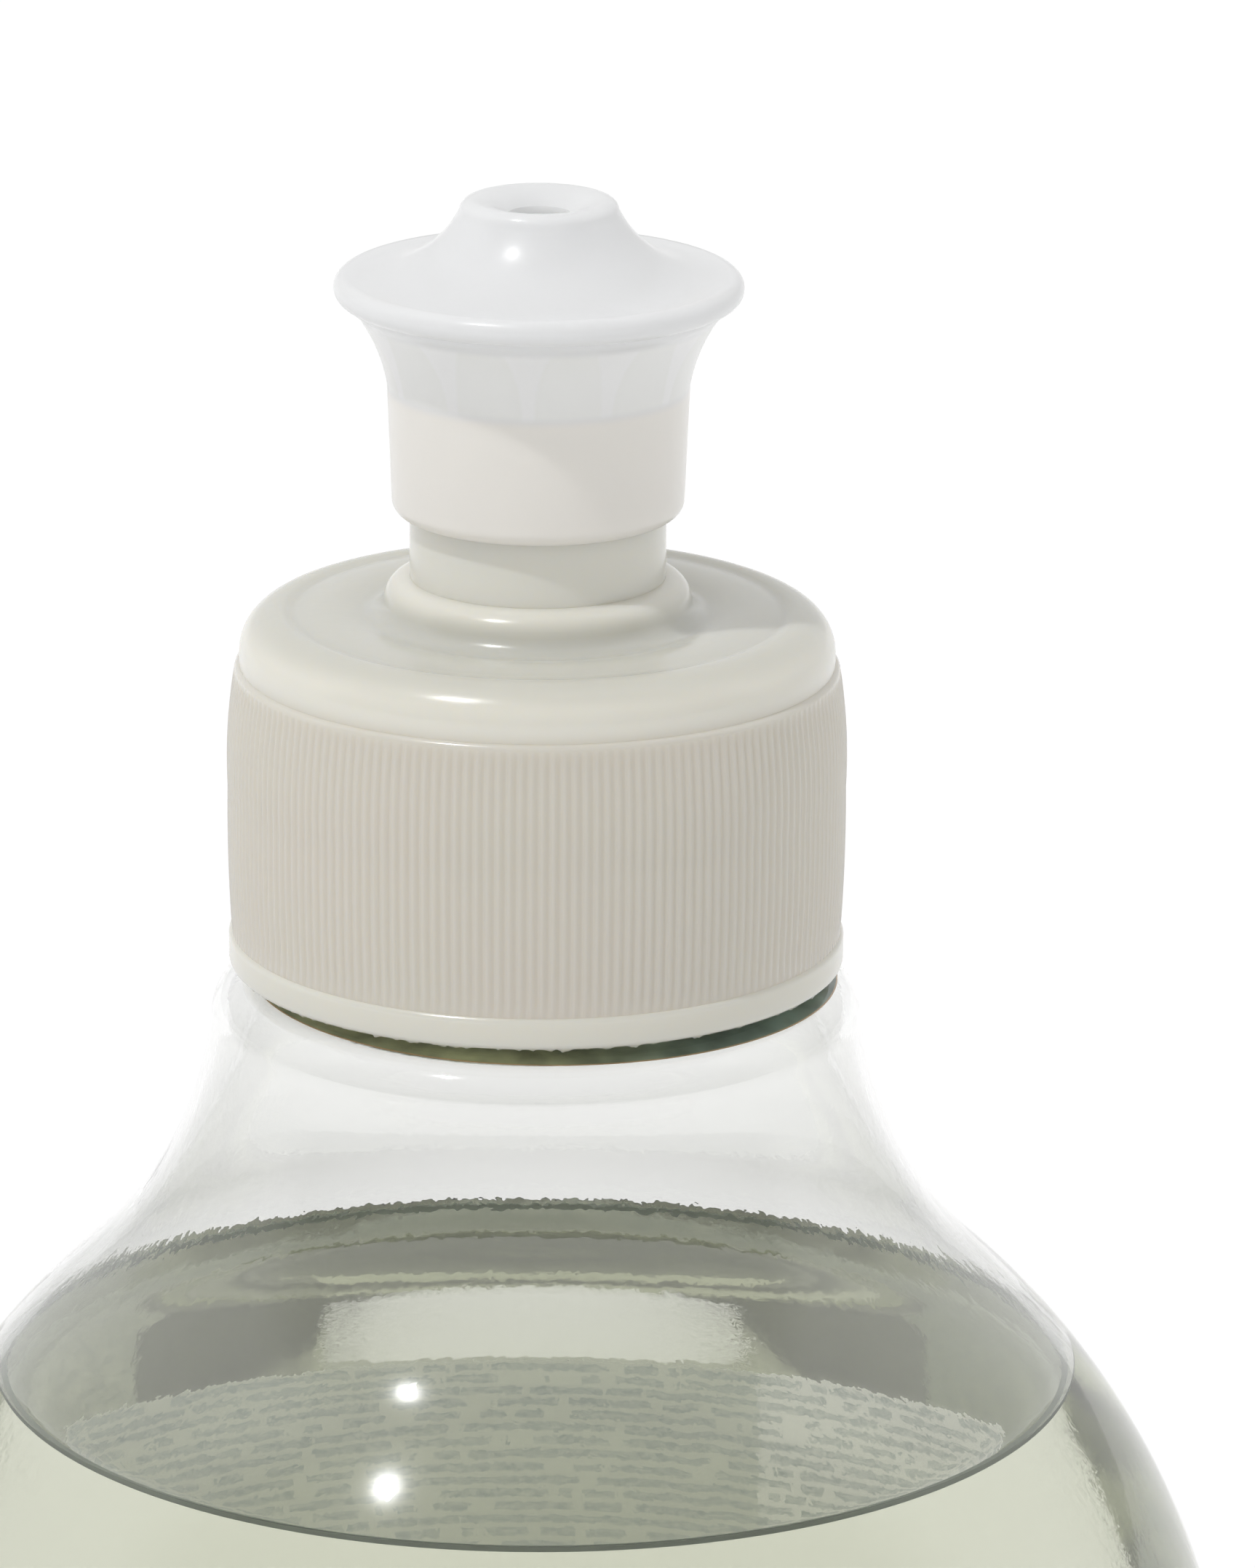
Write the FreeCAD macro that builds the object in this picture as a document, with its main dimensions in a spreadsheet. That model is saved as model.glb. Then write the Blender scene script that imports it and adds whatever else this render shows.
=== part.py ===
"""Dish soap bottle: a clear blown bottle with a screw cap and a push-pull nozzle.

Millimetres, +Z up.  The origin is the centre of the circle that the bottle stands on, and every
piece but the label is round about the Z axis.  The nozzle is pushed down, which is closed.
"""
import FreeCAD, Part
import math
import os
import re
import Sketcher

VECTOR = FreeCAD.Vector

# Driving dimensions: name, value, what it is.
DIMENSIONS = [
    ("body_radius", 38.5, "outside radius of the bottle's straight wall"),
    ("shell_wall", 0.4, "blown wall of the bottle"),
    ("ledge_height", 139.25, "height of the flat ledge under the cap"),
    ("ledge_radius", 17.2, "outside radius of the ledge"),
    ("ledge_round", 2.28, "round of the ledge's edge"),
    ("ledge_wall", 0.65, "thickness of the ledge, which is blown thicker than the wall"),
    ("hollow_radius", 23.6, "radius of the shoulder's hollow curve"),
    ("hollow_rise", 0.25, "height of that curve's centre above the ledge"),
    ("hollow_taper", 2.0, "by which the hollow curve's inside is flatter"),
    ("crown_radius", 41.0, "radius of the shoulder's full curve"),
    ("heel_radius", 6.0, "radius between the wall and the base"),
    ("foot_width", 2.0, "width of the flat ring that the bottle stands on"),
    ("base_rise", 7.0, "height of the pushed-up base at its centre"),
    ("base_wall", 0.6, "thickness of the base"),
    ("neck_radius", 12.6, "outside radius of the neck at the thread's root"),
    ("bore_radius", 10.85, "radius of the neck's bore"),
    ("neck_height", 17.25, "height of the neck above the ledge"),
    ("lip_round", 0.4, "round of the neck's lip"),
    ("thread_pitch", 4.233, "rise of the thread in one turn"),
    ("thread_turns", 1.5, "turns of thread on the neck and in the cap"),
    ("thread_depth", 1.05, "height of the thread over its root"),
    ("thread_foot", 1.9, "width of a thread at its root"),
    ("thread_crest", 0.9, "width of a thread at its crest"),
    ("thread_play", 0.45, "radial clearance between the two threads"),
    ("thread_offset", 1.6, "distance of the cap's thread below the neck's thread"),
    ("thread_start", 2.2, "distance of the neck's topmost thread below the lip"),
    ("thread_bury", 0.15, "depth to which a thread is rooted in its wall"),
    ("air_height", 23.15, "height from the soap's surface to the ledge"),
    ("soap_gap", 0.05, "gap between the soap and the wall"),
    ("label_drop", 59.25, "distance of the label's top edge below the ledge"),
    ("label_height", 66.0, "height of the label"),
    ("label_span", 150.0, "degrees of the wall that the label covers"),
    ("label_thickness", 0.15, "thickness of the label"),
    ("label_gap", 0.02, "layer of adhesive behind the label"),
    ("label_corner", 2.0, "radius of the label's corners"),
    ("seal_thickness", 1.0, "thickness of the sealing ring"),
    ("seal_gap", 0.05, "clearance above and below the sealing ring"),
    ("seal_bore", 10.9, "inside radius of the sealing ring"),
    ("seal_play", 0.3, "clearance between the sealing ring and the cap's wall"),
    ("skirt_gap", 0.75, "gap between the cap and the ledge"),
    ("bead_radius", 16.4, "radius of the plain bead at the skirt's lower edge"),
    ("bead_height", 1.5, "height of that bead"),
    ("bead_round", 0.3, "round of that bead"),
    ("waist_radius", 16.22, "radius of the skirt just above the bead"),
    ("belly_radius", 95.0, "radius of the skirt's slight outward curve"),
    ("skirt_height", 16.1, "height of the ribbed skirt"),
    ("skirt_radius", 16.08, "radius of the skirt's upper edge"),
    ("rib_count", 180, "ribs round the skirt"),
    ("rib_root", 15.98, "radius at the bottom of the grooves between the ribs"),
    ("rib_opening", 0.42, "width of a groove at the skirt's surface"),
    ("rib_margin", 0.4, "plain height between the bead and the ribs"),
    ("dome_radius", 15.78, "outside radius of the cap's domed top"),
    ("dome_round", 2.2, "round of the domed top's edge"),
    ("deck_wall", 1.6, "thickness of the cap's top"),
    ("ripple_radius", 13.0, "outside radius of the raised ring in the deck"),
    ("ripple_bore", 9.4, "inside radius of that ring"),
    ("ripple_depth", 0.14, "depth of the grooves beside that ring"),
    ("ripple_curve", 7.5, "radius of the ring's crown"),
    ("collar_radius", 8.15, "radius of the collar at the chimney's foot"),
    ("collar_height", 1.9, "height of the collar over the deck"),
    ("collar_curve", 1.3, "radius of the collar's full curve"),
    ("chimney_radius", 6.77, "outside radius of the chimney"),
    ("chimney_bore", 5.6, "inside radius of the chimney"),
    ("chimney_height", 12.4, "height of the chimney over the deck"),
    ("catch_radius", 7.0, "radius of the catch bead at the chimney's mouth"),
    ("catch_height", 0.9, "height of that bead"),
    ("catch_slope", 0.2, "height of the bead's lead-in slopes"),
    ("pin_radius", 1.6, "radius of the stopper pin in the chimney"),
    ("pin_drop", 0.3, "distance of the pin's tip below the mouth's dish"),
    ("web_count", 3, "webs that carry the pin"),
    ("web_width", 1.3, "thickness of a web"),
    ("web_height", 2.0, "height of a web"),
    ("web_gap", 0.4, "gap between the webs and the nozzle's inner tube"),
    ("nozzle_stand", 5.4, "height of the nozzle's lower edge over the deck"),
    ("barrel_radius", 7.72, "outside radius of the barrel's lower end"),
    ("barrel_round", 0.8, "round of the barrel's lower edge"),
    ("barrel_top_radius", 7.97, "outside radius of the barrel's upper end"),
    ("barrel_height", 7.0, "height of the barrel's straight wall"),
    ("barrel_play", 0.15, "clearance between the barrel and the catch bead"),
    ("grip_play", 0.1, "clearance between the barrel's inner bead and the chimney"),
    ("grip_height", 1.0, "height of the barrel's inner bead"),
    ("flare_radius", 9.5, "radius of the hollow curve under the flange"),
    ("flare_top_radius", 9.58, "radius at which the flare meets the rim"),
    ("flare_height", 10.89, "height at which the flare meets the rim"),
    ("rim_radius", 10.03, "radius at which the rim's lower curve ends"),
    ("rim_height", 11.46, "height at which the rim's lower curve ends"),
    ("rim_under_curve", 1.29, "radius of the rim's lower curve"),
    ("rim_top_radius", 10.28, "radius at which the rim's upper curve ends"),
    ("rim_top_height", 12.88, "height at which the rim's upper curve ends"),
    ("rim_over_curve", 0.73, "radius of the rim's upper curve"),
    ("nose_curve", 6.22, "radius of the nose's hollow curve"),
    ("mouth_radius", 4.2, "outside radius of the mouth"),
    ("mouth_height", 16.29, "height at which the mouth's lip begins"),
    ("nozzle_height", 16.9, "height of the nozzle"),
    ("lip_width", 0.66, "width of the mouth's round lip"),
    ("dish_depth", 0.8, "depth of the dish in the mouth"),
    ("dish_curve", 3.2, "radius of the dish"),
    ("orifice_play", 0.1, "clearance between the pin and the orifice"),
    ("orifice_length", 1.1, "length of the orifice"),
    ("tube_play", 0.1, "clearance between the inner tube and the chimney's bore"),
    ("tube_wall", 1.0, "wall of the inner tube"),
    ("tube_base", 1.4, "height of the inner tube's end over the barrel's end"),
    ("tube_length", 11.8, "length of the inner tube's straight bore"),
    ("pocket_height", 10.8, "height of the pocket between the barrel and the inner tube"),
    ("pocket_radius", 8.2, "outside radius of the pocket at its top, which follows the flare"),
    ("pocket_curve", 6.2, "radius of the pocket's outer curve"),
    ("fin_count", 12, "fins between the barrel and the inner tube"),
    ("fin_width", 0.7, "thickness of a fin"),
    ("fin_height", 3.2, "height of a fin"),
    ("fin_bury", 0.2, "depth to which a fin is rooted in the walls"),
]

# Values worked out from the driving dimensions, in the order in which they need each other.
DERIVED = [
    ("skirt_base", "ledge_height + skirt_gap"),
    ("neck_top", "ledge_height + neck_height"),
    ("deck_under", "neck_top + seal_thickness + 2 * seal_gap"),
    ("deck_top", "deck_under + deck_wall"),
    ("soap_level", "ledge_height - air_height"),
    ("hollow_x", "ledge_radius + hollow_radius"),
    ("hollow_z", "ledge_height + hollow_rise"),
    ("crown_x", "body_radius - crown_radius"),
    ("curve_sum", "crown_radius + hollow_radius"),
    ("crown_z", "hollow_z - sqrt(curve_sum * curve_sum - (hollow_x - crown_x) * (hollow_x - crown_x))"),
    ("join_x", "crown_x + (hollow_x - crown_x) * crown_radius / curve_sum"),
    ("join_z", "crown_z + (hollow_z - crown_z) * crown_radius / curve_sum"),
    ("foot_radius", "body_radius - heel_radius"),
    ("foot_bore", "foot_radius - foot_width"),
    ("base_curve", "(foot_bore * foot_bore + base_rise * base_rise) / (2 * base_rise)"),
    ("base_centre", "base_rise - base_curve"),
    ("cap_bore", "neck_radius + thread_depth + thread_play"),
    ("neck_thread", "neck_top - thread_start - thread_pitch * thread_turns"),
    ("cap_thread", "neck_thread - thread_offset"),
    ("chimney_top", "deck_top + chimney_height"),
    ("nozzle_base", "deck_top + nozzle_stand"),
    ("tube_radius", "chimney_bore - tube_play"),
    ("tube_bore", "tube_radius - tube_wall"),
    ("tube_end", "nozzle_base + tube_base"),
    ("web_base", "tube_end - web_gap - web_height"),
    ("orifice_radius", "pin_radius + orifice_play"),
    ("orifice_top", "nozzle_base + nozzle_height - dish_depth"),
    ("barrel_bore", "catch_radius + barrel_play"),
    ("grip_bore", "chimney_radius + grip_play"),
]

SHEET = "sizes"
KNOWN_NAMES = {name for name, *_ in DIMENSIONS} | {name for name, _ in DERIVED}

doc = FreeCAD.newDocument("dish_soap_bottle")
sheet = doc.addObject("Spreadsheet::Sheet", SHEET)


def bound(expression):
    """Write an expression of plain size names as one that reads the sheet."""
    return re.sub(r"[a-z_]+", lambda word: prefixed(word.group()), expression)


def prefixed(word):
    """Prefix a size's name with the sheet's, and leave a function's name alone."""
    return "<<%s>>.%s" % (SHEET, word) if word in KNOWN_NAMES else word


def fill_sheet():
    """Write the driving dimensions and the values worked out from them."""
    for row, (name, value, meaning) in enumerate(DIMENSIONS, start=1):
        sheet.set("A%d" % row, meaning)
        sheet.set("B%d" % row, str(value))
        sheet.setAlias("B%d" % row, name)
    doc.recompute()
    for row, (name, formula) in enumerate(DERIVED, start=len(DIMENSIONS) + 2):
        sheet.set("A%d" % row, formula)
        sheet.set("B%d" % row, "=" + formula)
        sheet.setAlias("B%d" % row, name)
        doc.recompute()


def value_of(expression):
    """Work out an expression of size names as a number."""
    return float(sheet.evalExpression(bound(str(expression))))


def new_body(name):
    """Start a piece: a body whose label is the piece's name."""
    body = doc.addObject("PartDesign::Body", name)
    body.Label = name
    return body


def new_sketch(body, name, role="XZ_Plane", height=None):
    """Put a sketch on one of the body's own planes, at a height that follows the sheet."""
    sketch = body.newObject("Sketcher::SketchObject", name)
    plane = next(item for item in body.Origin.OriginFeatures if item.Role == role)
    sketch.AttachmentSupport = [(plane, "")]
    sketch.MapMode = "FlatFace"
    if height is not None:
        sketch.AttachmentOffset = FreeCAD.Placement(VECTOR(0, 0, value_of(height)), FreeCAD.Rotation())
        sketch.setExpression("AttachmentOffset.Base.z", bound(height))
    return sketch


def arc_between(start, end, radius, centre_on_left):
    """Make the shorter arc from start to end, and say whether it runs from start to end."""
    chord = end - start
    reach = math.sqrt(max(radius ** 2 - (chord.Length / 2) ** 2, 0.0))
    left = VECTOR(-chord.y, chord.x, 0).normalize()
    centre = (start + end) * 0.5 + left * (reach if centre_on_left else -reach)
    first, last = (start, end) if centre_on_left else (end, start)
    angles = [math.atan2(point.y - centre.y, point.x - centre.x) for point in (first, last)]
    circle = Part.Circle(centre, VECTOR(0, 0, 1), radius)
    return Part.ArcOfCircle(circle, *angles), centre_on_left


def draw_profile(sketch, corners):
    """Draw a closed outline from corners, each (x, y, edge to the next corner).

    The edge is "line", or ("left" or "right", radius) for an arc whose centre lies on that side.
    Every corner and radius is an expression of size names, and is bound to the sheet.
    """
    points = [VECTOR(value_of(x), value_of(y), 0) for x, y, _ in corners]
    ends = []
    for index, (_, _, edge) in enumerate(corners):
        start, end = points[index], points[(index + 1) % len(points)]
        if edge == "line":
            geometry = sketch.addGeometry(Part.LineSegment(start, end), False)
            forward = True
        else:
            side, radius = edge
            arc, forward = arc_between(start, end, value_of(radius), side == "left")
            geometry = sketch.addGeometry(arc, False)
            constraint = sketch.addConstraint(Sketcher.Constraint("Radius", geometry, value_of(radius)))
            sketch.setExpression("Constraints[%d]" % constraint, bound(radius))
        ends.append((geometry, 1 if forward else 2, 2 if forward else 1))
    for index, (x, y, _) in enumerate(corners):
        geometry, start_point, _ = ends[index]
        before, _, end_point = ends[index - 1]
        sketch.addConstraint(Sketcher.Constraint("Coincident", before, end_point, geometry, start_point))
        for kind, expression in (("DistanceX", x), ("DistanceY", y)):
            place = Sketcher.Constraint(kind, -1, 1, geometry, start_point, value_of(expression))
            constraint = sketch.addConstraint(place)
            sketch.setExpression("Constraints[%d]" % constraint, bound(expression))


def revolve(body, name, corners, role="XZ_Plane", angle=None):
    """Turn an outline of radii and heights about the Z axis."""
    sketch = new_sketch(body, name + "_outline", role)
    draw_profile(sketch, corners)
    feature = body.newObject("PartDesign::Revolution", name)
    feature.Profile = sketch
    feature.ReferenceAxis = (sketch, ["V_Axis"])
    if angle:
        feature.Midplane = True
        feature.setExpression("Angle", bound(angle))
    doc.recompute()
    return feature


def add_thread(body, name, root, crest, height):
    """Wind a thread on a wall: root and crest are radii, height is its middle where it starts."""
    sketch = new_sketch(body, name + "_outline")
    low, high = height + " - %s / 2", height + " + %s / 2"
    draw_profile(sketch, [
        (root, low % "thread_foot", "line"),
        (crest, low % "thread_crest", "line"),
        (crest, high % "thread_crest", "line"),
        (root, high % "thread_foot", "line"),
    ])
    helix = body.newObject("PartDesign::AdditiveHelix", name)
    helix.Profile = sketch
    helix.ReferenceAxis = (sketch, ["V_Axis"])
    helix.Mode = "pitch-turns-angle"
    helix.setExpression("Pitch", bound("thread_pitch"))
    helix.setExpression("Turns", bound("thread_turns"))
    doc.recompute()


def repeat_round(body, name, feature, sketch, count, axis="N_Axis"):
    """Repeat a feature evenly round the Z axis, which is one of the sketch's own axes."""
    pattern = body.newObject("PartDesign::PolarPattern", name)
    pattern.Originals = [feature]
    pattern.Axis = (sketch, [axis])
    pattern.Angle = 360
    pattern.setExpression("Occurrences", bound(count))
    body.Tip = pattern
    doc.recompute()


def make_bottle():
    """Bottle: one blown shell with a ledge, a threaded neck and a pushed-up base."""
    body = new_body("bottle")
    inner_hollow = "(hollow_radius + hollow_taper)"
    inner_crown = "crown_radius - shell_wall"
    inner_base = "base_curve + base_wall"
    inner_heel = "heel_radius - shell_wall"
    under_ledge = "ledge_height - ledge_wall"
    edge_drop = "(hollow_rise + ledge_round)"
    inner_round = "(ledge_round - ledge_wall)"
    revolve(body, "shell", [
        ("0", "base_rise", ("right", "base_curve")),
        ("foot_bore", "0", "line"),
        ("foot_radius", "0", ("left", "heel_radius")),
        ("body_radius", "heel_radius", "line"),
        ("body_radius", "crown_z", ("left", "crown_radius")),
        ("join_x", "join_z", ("right", "hollow_radius")),
        ("hollow_x - sqrt(hollow_radius * hollow_radius - %s * %s)" % (edge_drop, edge_drop),
         "ledge_height - ledge_round", ("left", "ledge_round")),
        ("ledge_radius - ledge_round", "ledge_height", "line"),
        ("neck_radius", "ledge_height", "line"),
        ("neck_radius", "neck_top - lip_round", ("left", "lip_round")),
        ("neck_radius - lip_round", "neck_top", "line"),
        ("bore_radius", "neck_top", "line"),
        ("bore_radius", under_ledge, "line"),
        ("ledge_radius - ledge_round", under_ledge, ("right", inner_round)),
        ("ledge_radius - ledge_wall", "ledge_height - ledge_round", ("left", inner_hollow)),
        ("join_x - shell_wall * (hollow_x - crown_x) / curve_sum",
         "join_z - shell_wall * (hollow_z - crown_z) / curve_sum", ("right", inner_crown)),
        ("body_radius - shell_wall", "crown_z", "line"),
        ("body_radius - shell_wall", "base_wall + " + inner_heel, ("right", inner_heel)),
        ("foot_radius", "base_wall", "line"),
        ("sqrt((%s) * (%s) - (base_wall - base_centre) * (base_wall - base_centre))"
         % (inner_base, inner_base), "base_wall", ("left", inner_base)),
        ("0", "base_rise + base_wall", "line"),
    ])
    add_thread(body, "neck_thread_ridge", "neck_radius - thread_bury", "neck_radius + thread_depth",
               "neck_thread")
    return body


def make_soap():
    """Soap: the liquid that fills the bottle to the middle of the shoulder."""
    body = new_body("soap_liquid")
    wall = "body_radius - shell_wall - soap_gap"
    crown = "(crown_radius - shell_wall - soap_gap)"
    base = "(base_curve + base_wall + soap_gap)"
    heel = "(heel_radius - shell_wall - soap_gap)"
    floor = "base_wall + soap_gap"
    revolve(body, "fill", [
        ("0", "base_rise + " + floor, ("right", base)),
        ("sqrt(%s * %s - (%s - base_centre) * (%s - base_centre))" % (base, base, floor, floor),
         floor, "line"),
        ("foot_radius", floor, ("left", heel)),
        (wall, floor + " + " + heel, "line"),
        (wall, "crown_z", ("left", crown)),
        ("crown_x + sqrt(%s * %s - (soap_level - crown_z) * (soap_level - crown_z))" % (crown, crown),
         "soap_level", "line"),
        ("0", "soap_level", "line"),
    ])
    return body


def make_label():
    """Back label: a thin film round the back of the straight wall, with round corners."""
    body = new_body("back_label")
    inside = "body_radius + label_gap"
    outside = inside + " + label_thickness"
    top = "ledge_height - label_drop"
    low = top + " - label_height"
    film = revolve(body, "film", [
        (inside, low, "line"),
        (outside, low, "line"),
        (outside, top, "line"),
        (inside, top, "line"),
    ], role="YZ_Plane", angle="label_span")
    corners = ["Edge%d" % number for number, edge in enumerate(film.Shape.Edges, start=1)
               if edge.Length < 2 * value_of("label_thickness")]
    rounding = body.newObject("PartDesign::Fillet", "corners")
    rounding.Base = (film, corners)
    rounding.setExpression("Radius", bound("label_corner"))
    doc.recompute()
    return body


def make_seal():
    """Sealing ring: a flat foam ring between the neck's lip and the cap."""
    body = new_body("sealing_ring")
    low = "neck_top + seal_gap"
    high = low + " + seal_thickness"
    outside = "cap_bore - seal_play"
    revolve(body, "ring", [
        ("seal_bore", low, "line"),
        (outside, low, "line"),
        (outside, high, "line"),
        ("seal_bore", high, "line"),
    ])
    return body


def make_cap():
    """Screw cap: ribbed skirt, rippled top, chimney with a catch bead, and the stopper pin."""
    body = new_body("screw_cap")
    catch_top = "chimney_top - catch_slope"
    catch_low = "chimney_top - catch_slope - catch_height"
    revolve(body, "cap_wall", [
        ("cap_bore", "skirt_base", "line"),
        ("bead_radius - bead_round", "skirt_base", ("left", "bead_round")),
        ("bead_radius", "skirt_base + bead_round", "line"),
        ("bead_radius", "skirt_base + bead_height", "line"),
        ("waist_radius", "skirt_base + bead_height + bead_round", ("left", "belly_radius")),
        ("skirt_radius", "skirt_base + skirt_height", "line"),
        ("dome_radius", "skirt_base + skirt_height + bead_round", "line"),
        ("dome_radius", "deck_top - dome_round", ("left", "dome_round")),
        ("dome_radius - dome_round", "deck_top", "line"),
        ("ripple_radius", "deck_top - ripple_depth", ("left", "ripple_curve")),
        ("ripple_bore", "deck_top - ripple_depth", "line"),
        ("collar_radius", "deck_top + collar_height / 3", ("left", "collar_curve")),
        ("chimney_radius", "deck_top + collar_height", "line"),
        ("chimney_radius", catch_low + " - catch_slope", "line"),
        ("catch_radius", catch_low, "line"),
        ("catch_radius", catch_top, "line"),
        ("chimney_radius", "chimney_top", "line"),
        ("chimney_bore", "chimney_top", "line"),
        ("chimney_bore", "deck_under", "line"),
        ("cap_bore", "deck_under", "line"),
    ])
    add_thread(body, "cap_thread_ridge", "cap_bore + thread_bury", "neck_radius + thread_play",
               "cap_thread")
    add_pin(body)
    add_ribs(body)
    return body


def add_pin(body):
    """Carry the stopper pin on webs across the chimney's bore."""
    outline = new_sketch(body, "web_outline", "XY_Plane", "web_base")
    draw_profile(outline, [
        ("0", "0 - web_width / 2", "line"),
        ("chimney_bore + thread_bury", "0 - web_width / 2", "line"),
        ("chimney_bore + thread_bury", "web_width / 2", "line"),
        ("0", "web_width / 2", "line"),
    ])
    web = body.newObject("PartDesign::Pad", "web")
    web.Profile = outline
    web.setExpression("Length", bound("web_height"))
    doc.recompute()
    repeat_round(body, "webs", web, outline, "web_count")
    circle = new_sketch(body, "pin_outline", "XY_Plane", "web_base")
    circle.addGeometry(Part.Circle(VECTOR(0, 0, 0), VECTOR(0, 0, 1), value_of("pin_radius")), False)
    circle.addConstraint(Sketcher.Constraint("Coincident", 0, 3, -1, 1))
    size = circle.addConstraint(Sketcher.Constraint("Radius", 0, value_of("pin_radius")))
    circle.setExpression("Constraints[%d]" % size, bound("pin_radius"))
    pin = body.newObject("PartDesign::Pad", "pin")
    pin.Profile = circle
    pin.setExpression("Length", bound("orifice_top - pin_drop - web_base"))
    doc.recompute()


def add_ribs(body):
    """Cut the grooves between the skirt's fine ribs."""
    outline = new_sketch(body, "groove_outline", "XY_Plane", "skirt_base + bead_height + rib_margin")
    reach = "bead_radius + rib_opening"
    half = "rib_opening / 2 * (%s - rib_root) / (bead_radius - rib_root)" % reach
    draw_profile(outline, [
        ("rib_root", "0", "line"),
        (reach, "0 - " + half, "line"),
        (reach, half, "line"),
    ])
    groove = body.newObject("PartDesign::Pocket", "groove")
    groove.Profile = outline
    groove.Type = "Length"
    groove.Reversed = True
    groove.setExpression("Length", bound("skirt_height - bead_height - rib_margin"))
    doc.recompute()
    repeat_round(body, "grooves", groove, outline, "rib_count")


def make_nozzle():
    """Push-pull nozzle: barrel, flange, nose with a dished mouth, inner tube and fins."""
    body = new_body("pull_nozzle")
    base = "nozzle_base + "
    tube_top = "tube_end + tube_length"
    revolve(body, "nozzle_wall", [
        ("grip_bore", "nozzle_base", "line"),
        ("barrel_radius - barrel_round", "nozzle_base", ("left", "barrel_round")),
        ("barrel_radius", base + "barrel_round", "line"),
        ("barrel_top_radius", base + "barrel_height", ("right", "flare_radius")),
        ("flare_top_radius", base + "flare_height", ("left", "rim_under_curve")),
        ("rim_radius", base + "rim_height", ("left", "rim_over_curve")),
        ("rim_top_radius", base + "rim_top_height", ("right", "nose_curve")),
        ("mouth_radius", base + "mouth_height", ("left", "lip_width")),
        ("mouth_radius - lip_width", base + "nozzle_height", ("left", "dish_curve")),
        ("orifice_radius", "orifice_top", "line"),
        ("orifice_radius", "orifice_top - orifice_length", "line"),
        ("tube_bore", tube_top, "line"),
        ("tube_bore", "tube_end", "line"),
        ("tube_radius", "tube_end", "line"),
        ("tube_radius", base + "pocket_height", "line"),
        ("pocket_radius", base + "pocket_height", ("left", "pocket_curve")),
        ("barrel_bore", base + "barrel_height", "line"),
        ("barrel_bore", base + "grip_height + barrel_play + grip_play", "line"),
        ("grip_bore", base + "grip_height", "line"),
    ])
    outline = new_sketch(body, "fin_outline")
    fin_base = base + "pocket_height - fin_height"
    fin_top = base + "pocket_height + fin_bury"
    draw_profile(outline, [
        ("tube_radius - fin_bury", fin_base, "line"),
        ("barrel_bore + fin_bury", fin_base, "line"),
        ("pocket_radius + fin_bury", fin_top, "line"),
        ("tube_radius - fin_bury", fin_top, "line"),
    ])
    fin = body.newObject("PartDesign::Pad", "fin")
    fin.Profile = outline
    fin.Midplane = True
    fin.setExpression("Length", bound("fin_width"))
    doc.recompute()
    repeat_round(body, "fins", fin, outline, "fin_count", "V_Axis")
    return body


def check_objects():
    """Stop if any object failed to build."""
    for item in doc.Objects:
        if "Invalid" in item.State or "Error" in item.State:
            raise RuntimeError("%s failed: %s" % (item.Label, item.State))


def write_pieces(pieces):
    """Check each piece's solid and write it to its own file."""
    os.makedirs("parts", exist_ok=True)
    for piece in pieces:
        shape = piece.Shape
        if shape.isNull() or not shape.isValid() or len(shape.Solids) != 1:
            raise RuntimeError("%s has no single valid solid" % piece.Label)
    for piece in pieces:
        piece.Shape.exportStep("parts/%s.step" % piece.Label)
        box = piece.Shape.BoundBox
        print("%-13s volume %9.1f  z %.2f to %.2f  radius %.2f"
              % (piece.Label, piece.Shape.Volume, box.ZMin, box.ZMax, box.XMax))


fill_sheet()
pieces = [make_bottle(), make_soap(), make_label(), make_seal(), make_cap(), make_nozzle()]
doc.recompute()
check_objects()
write_pieces(pieces)
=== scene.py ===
"""Looks of a dish soap bottle: clear shell, soap, label, ribbed cap and push-pull nozzle.

Radii and heights are written in millimetres, and every mesh is made in metres in the row's frame.
"""
import logging
import math
from dataclasses import dataclass, field
from enum import Enum

import bmesh
import bpy
from mathutils import Matrix, Vector, noise


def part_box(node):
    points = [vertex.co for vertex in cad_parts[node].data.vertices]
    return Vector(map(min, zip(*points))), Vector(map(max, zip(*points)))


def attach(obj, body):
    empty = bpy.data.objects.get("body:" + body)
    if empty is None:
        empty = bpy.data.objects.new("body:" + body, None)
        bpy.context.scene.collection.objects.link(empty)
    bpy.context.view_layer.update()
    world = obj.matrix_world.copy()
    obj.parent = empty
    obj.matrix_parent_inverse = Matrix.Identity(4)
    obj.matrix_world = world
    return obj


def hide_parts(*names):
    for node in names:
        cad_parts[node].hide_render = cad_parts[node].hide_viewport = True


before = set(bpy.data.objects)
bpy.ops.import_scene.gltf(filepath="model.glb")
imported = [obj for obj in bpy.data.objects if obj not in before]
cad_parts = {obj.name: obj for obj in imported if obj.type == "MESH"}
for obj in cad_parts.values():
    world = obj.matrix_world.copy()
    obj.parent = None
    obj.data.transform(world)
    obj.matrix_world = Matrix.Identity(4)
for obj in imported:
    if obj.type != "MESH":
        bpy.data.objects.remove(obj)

MM = 0.001
LOG = logging.getLogger("bottle")

THREAD_PITCH = 4.233
THREAD_TURNS = 1.5
THREAD_FOOT_WIDTH = 1.9
THREAD_CREST_WIDTH = 0.9
THREAD_DROP = 2.2
THREAD_STEPS = 72
THREAD_FADE = 0.12
FIN_COUNT = 12
FIN_TURN = -3.8
MIX_FIRST, MIX_SECOND, MIX_RESULT = 6, 7, 2

Point = tuple[float, float]
Colour = tuple[float, float, float]


class Side(Enum):
    """The side of its direction of travel on which an arc's centre lies."""

    LEFT = 1
    RIGHT = -1


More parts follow.
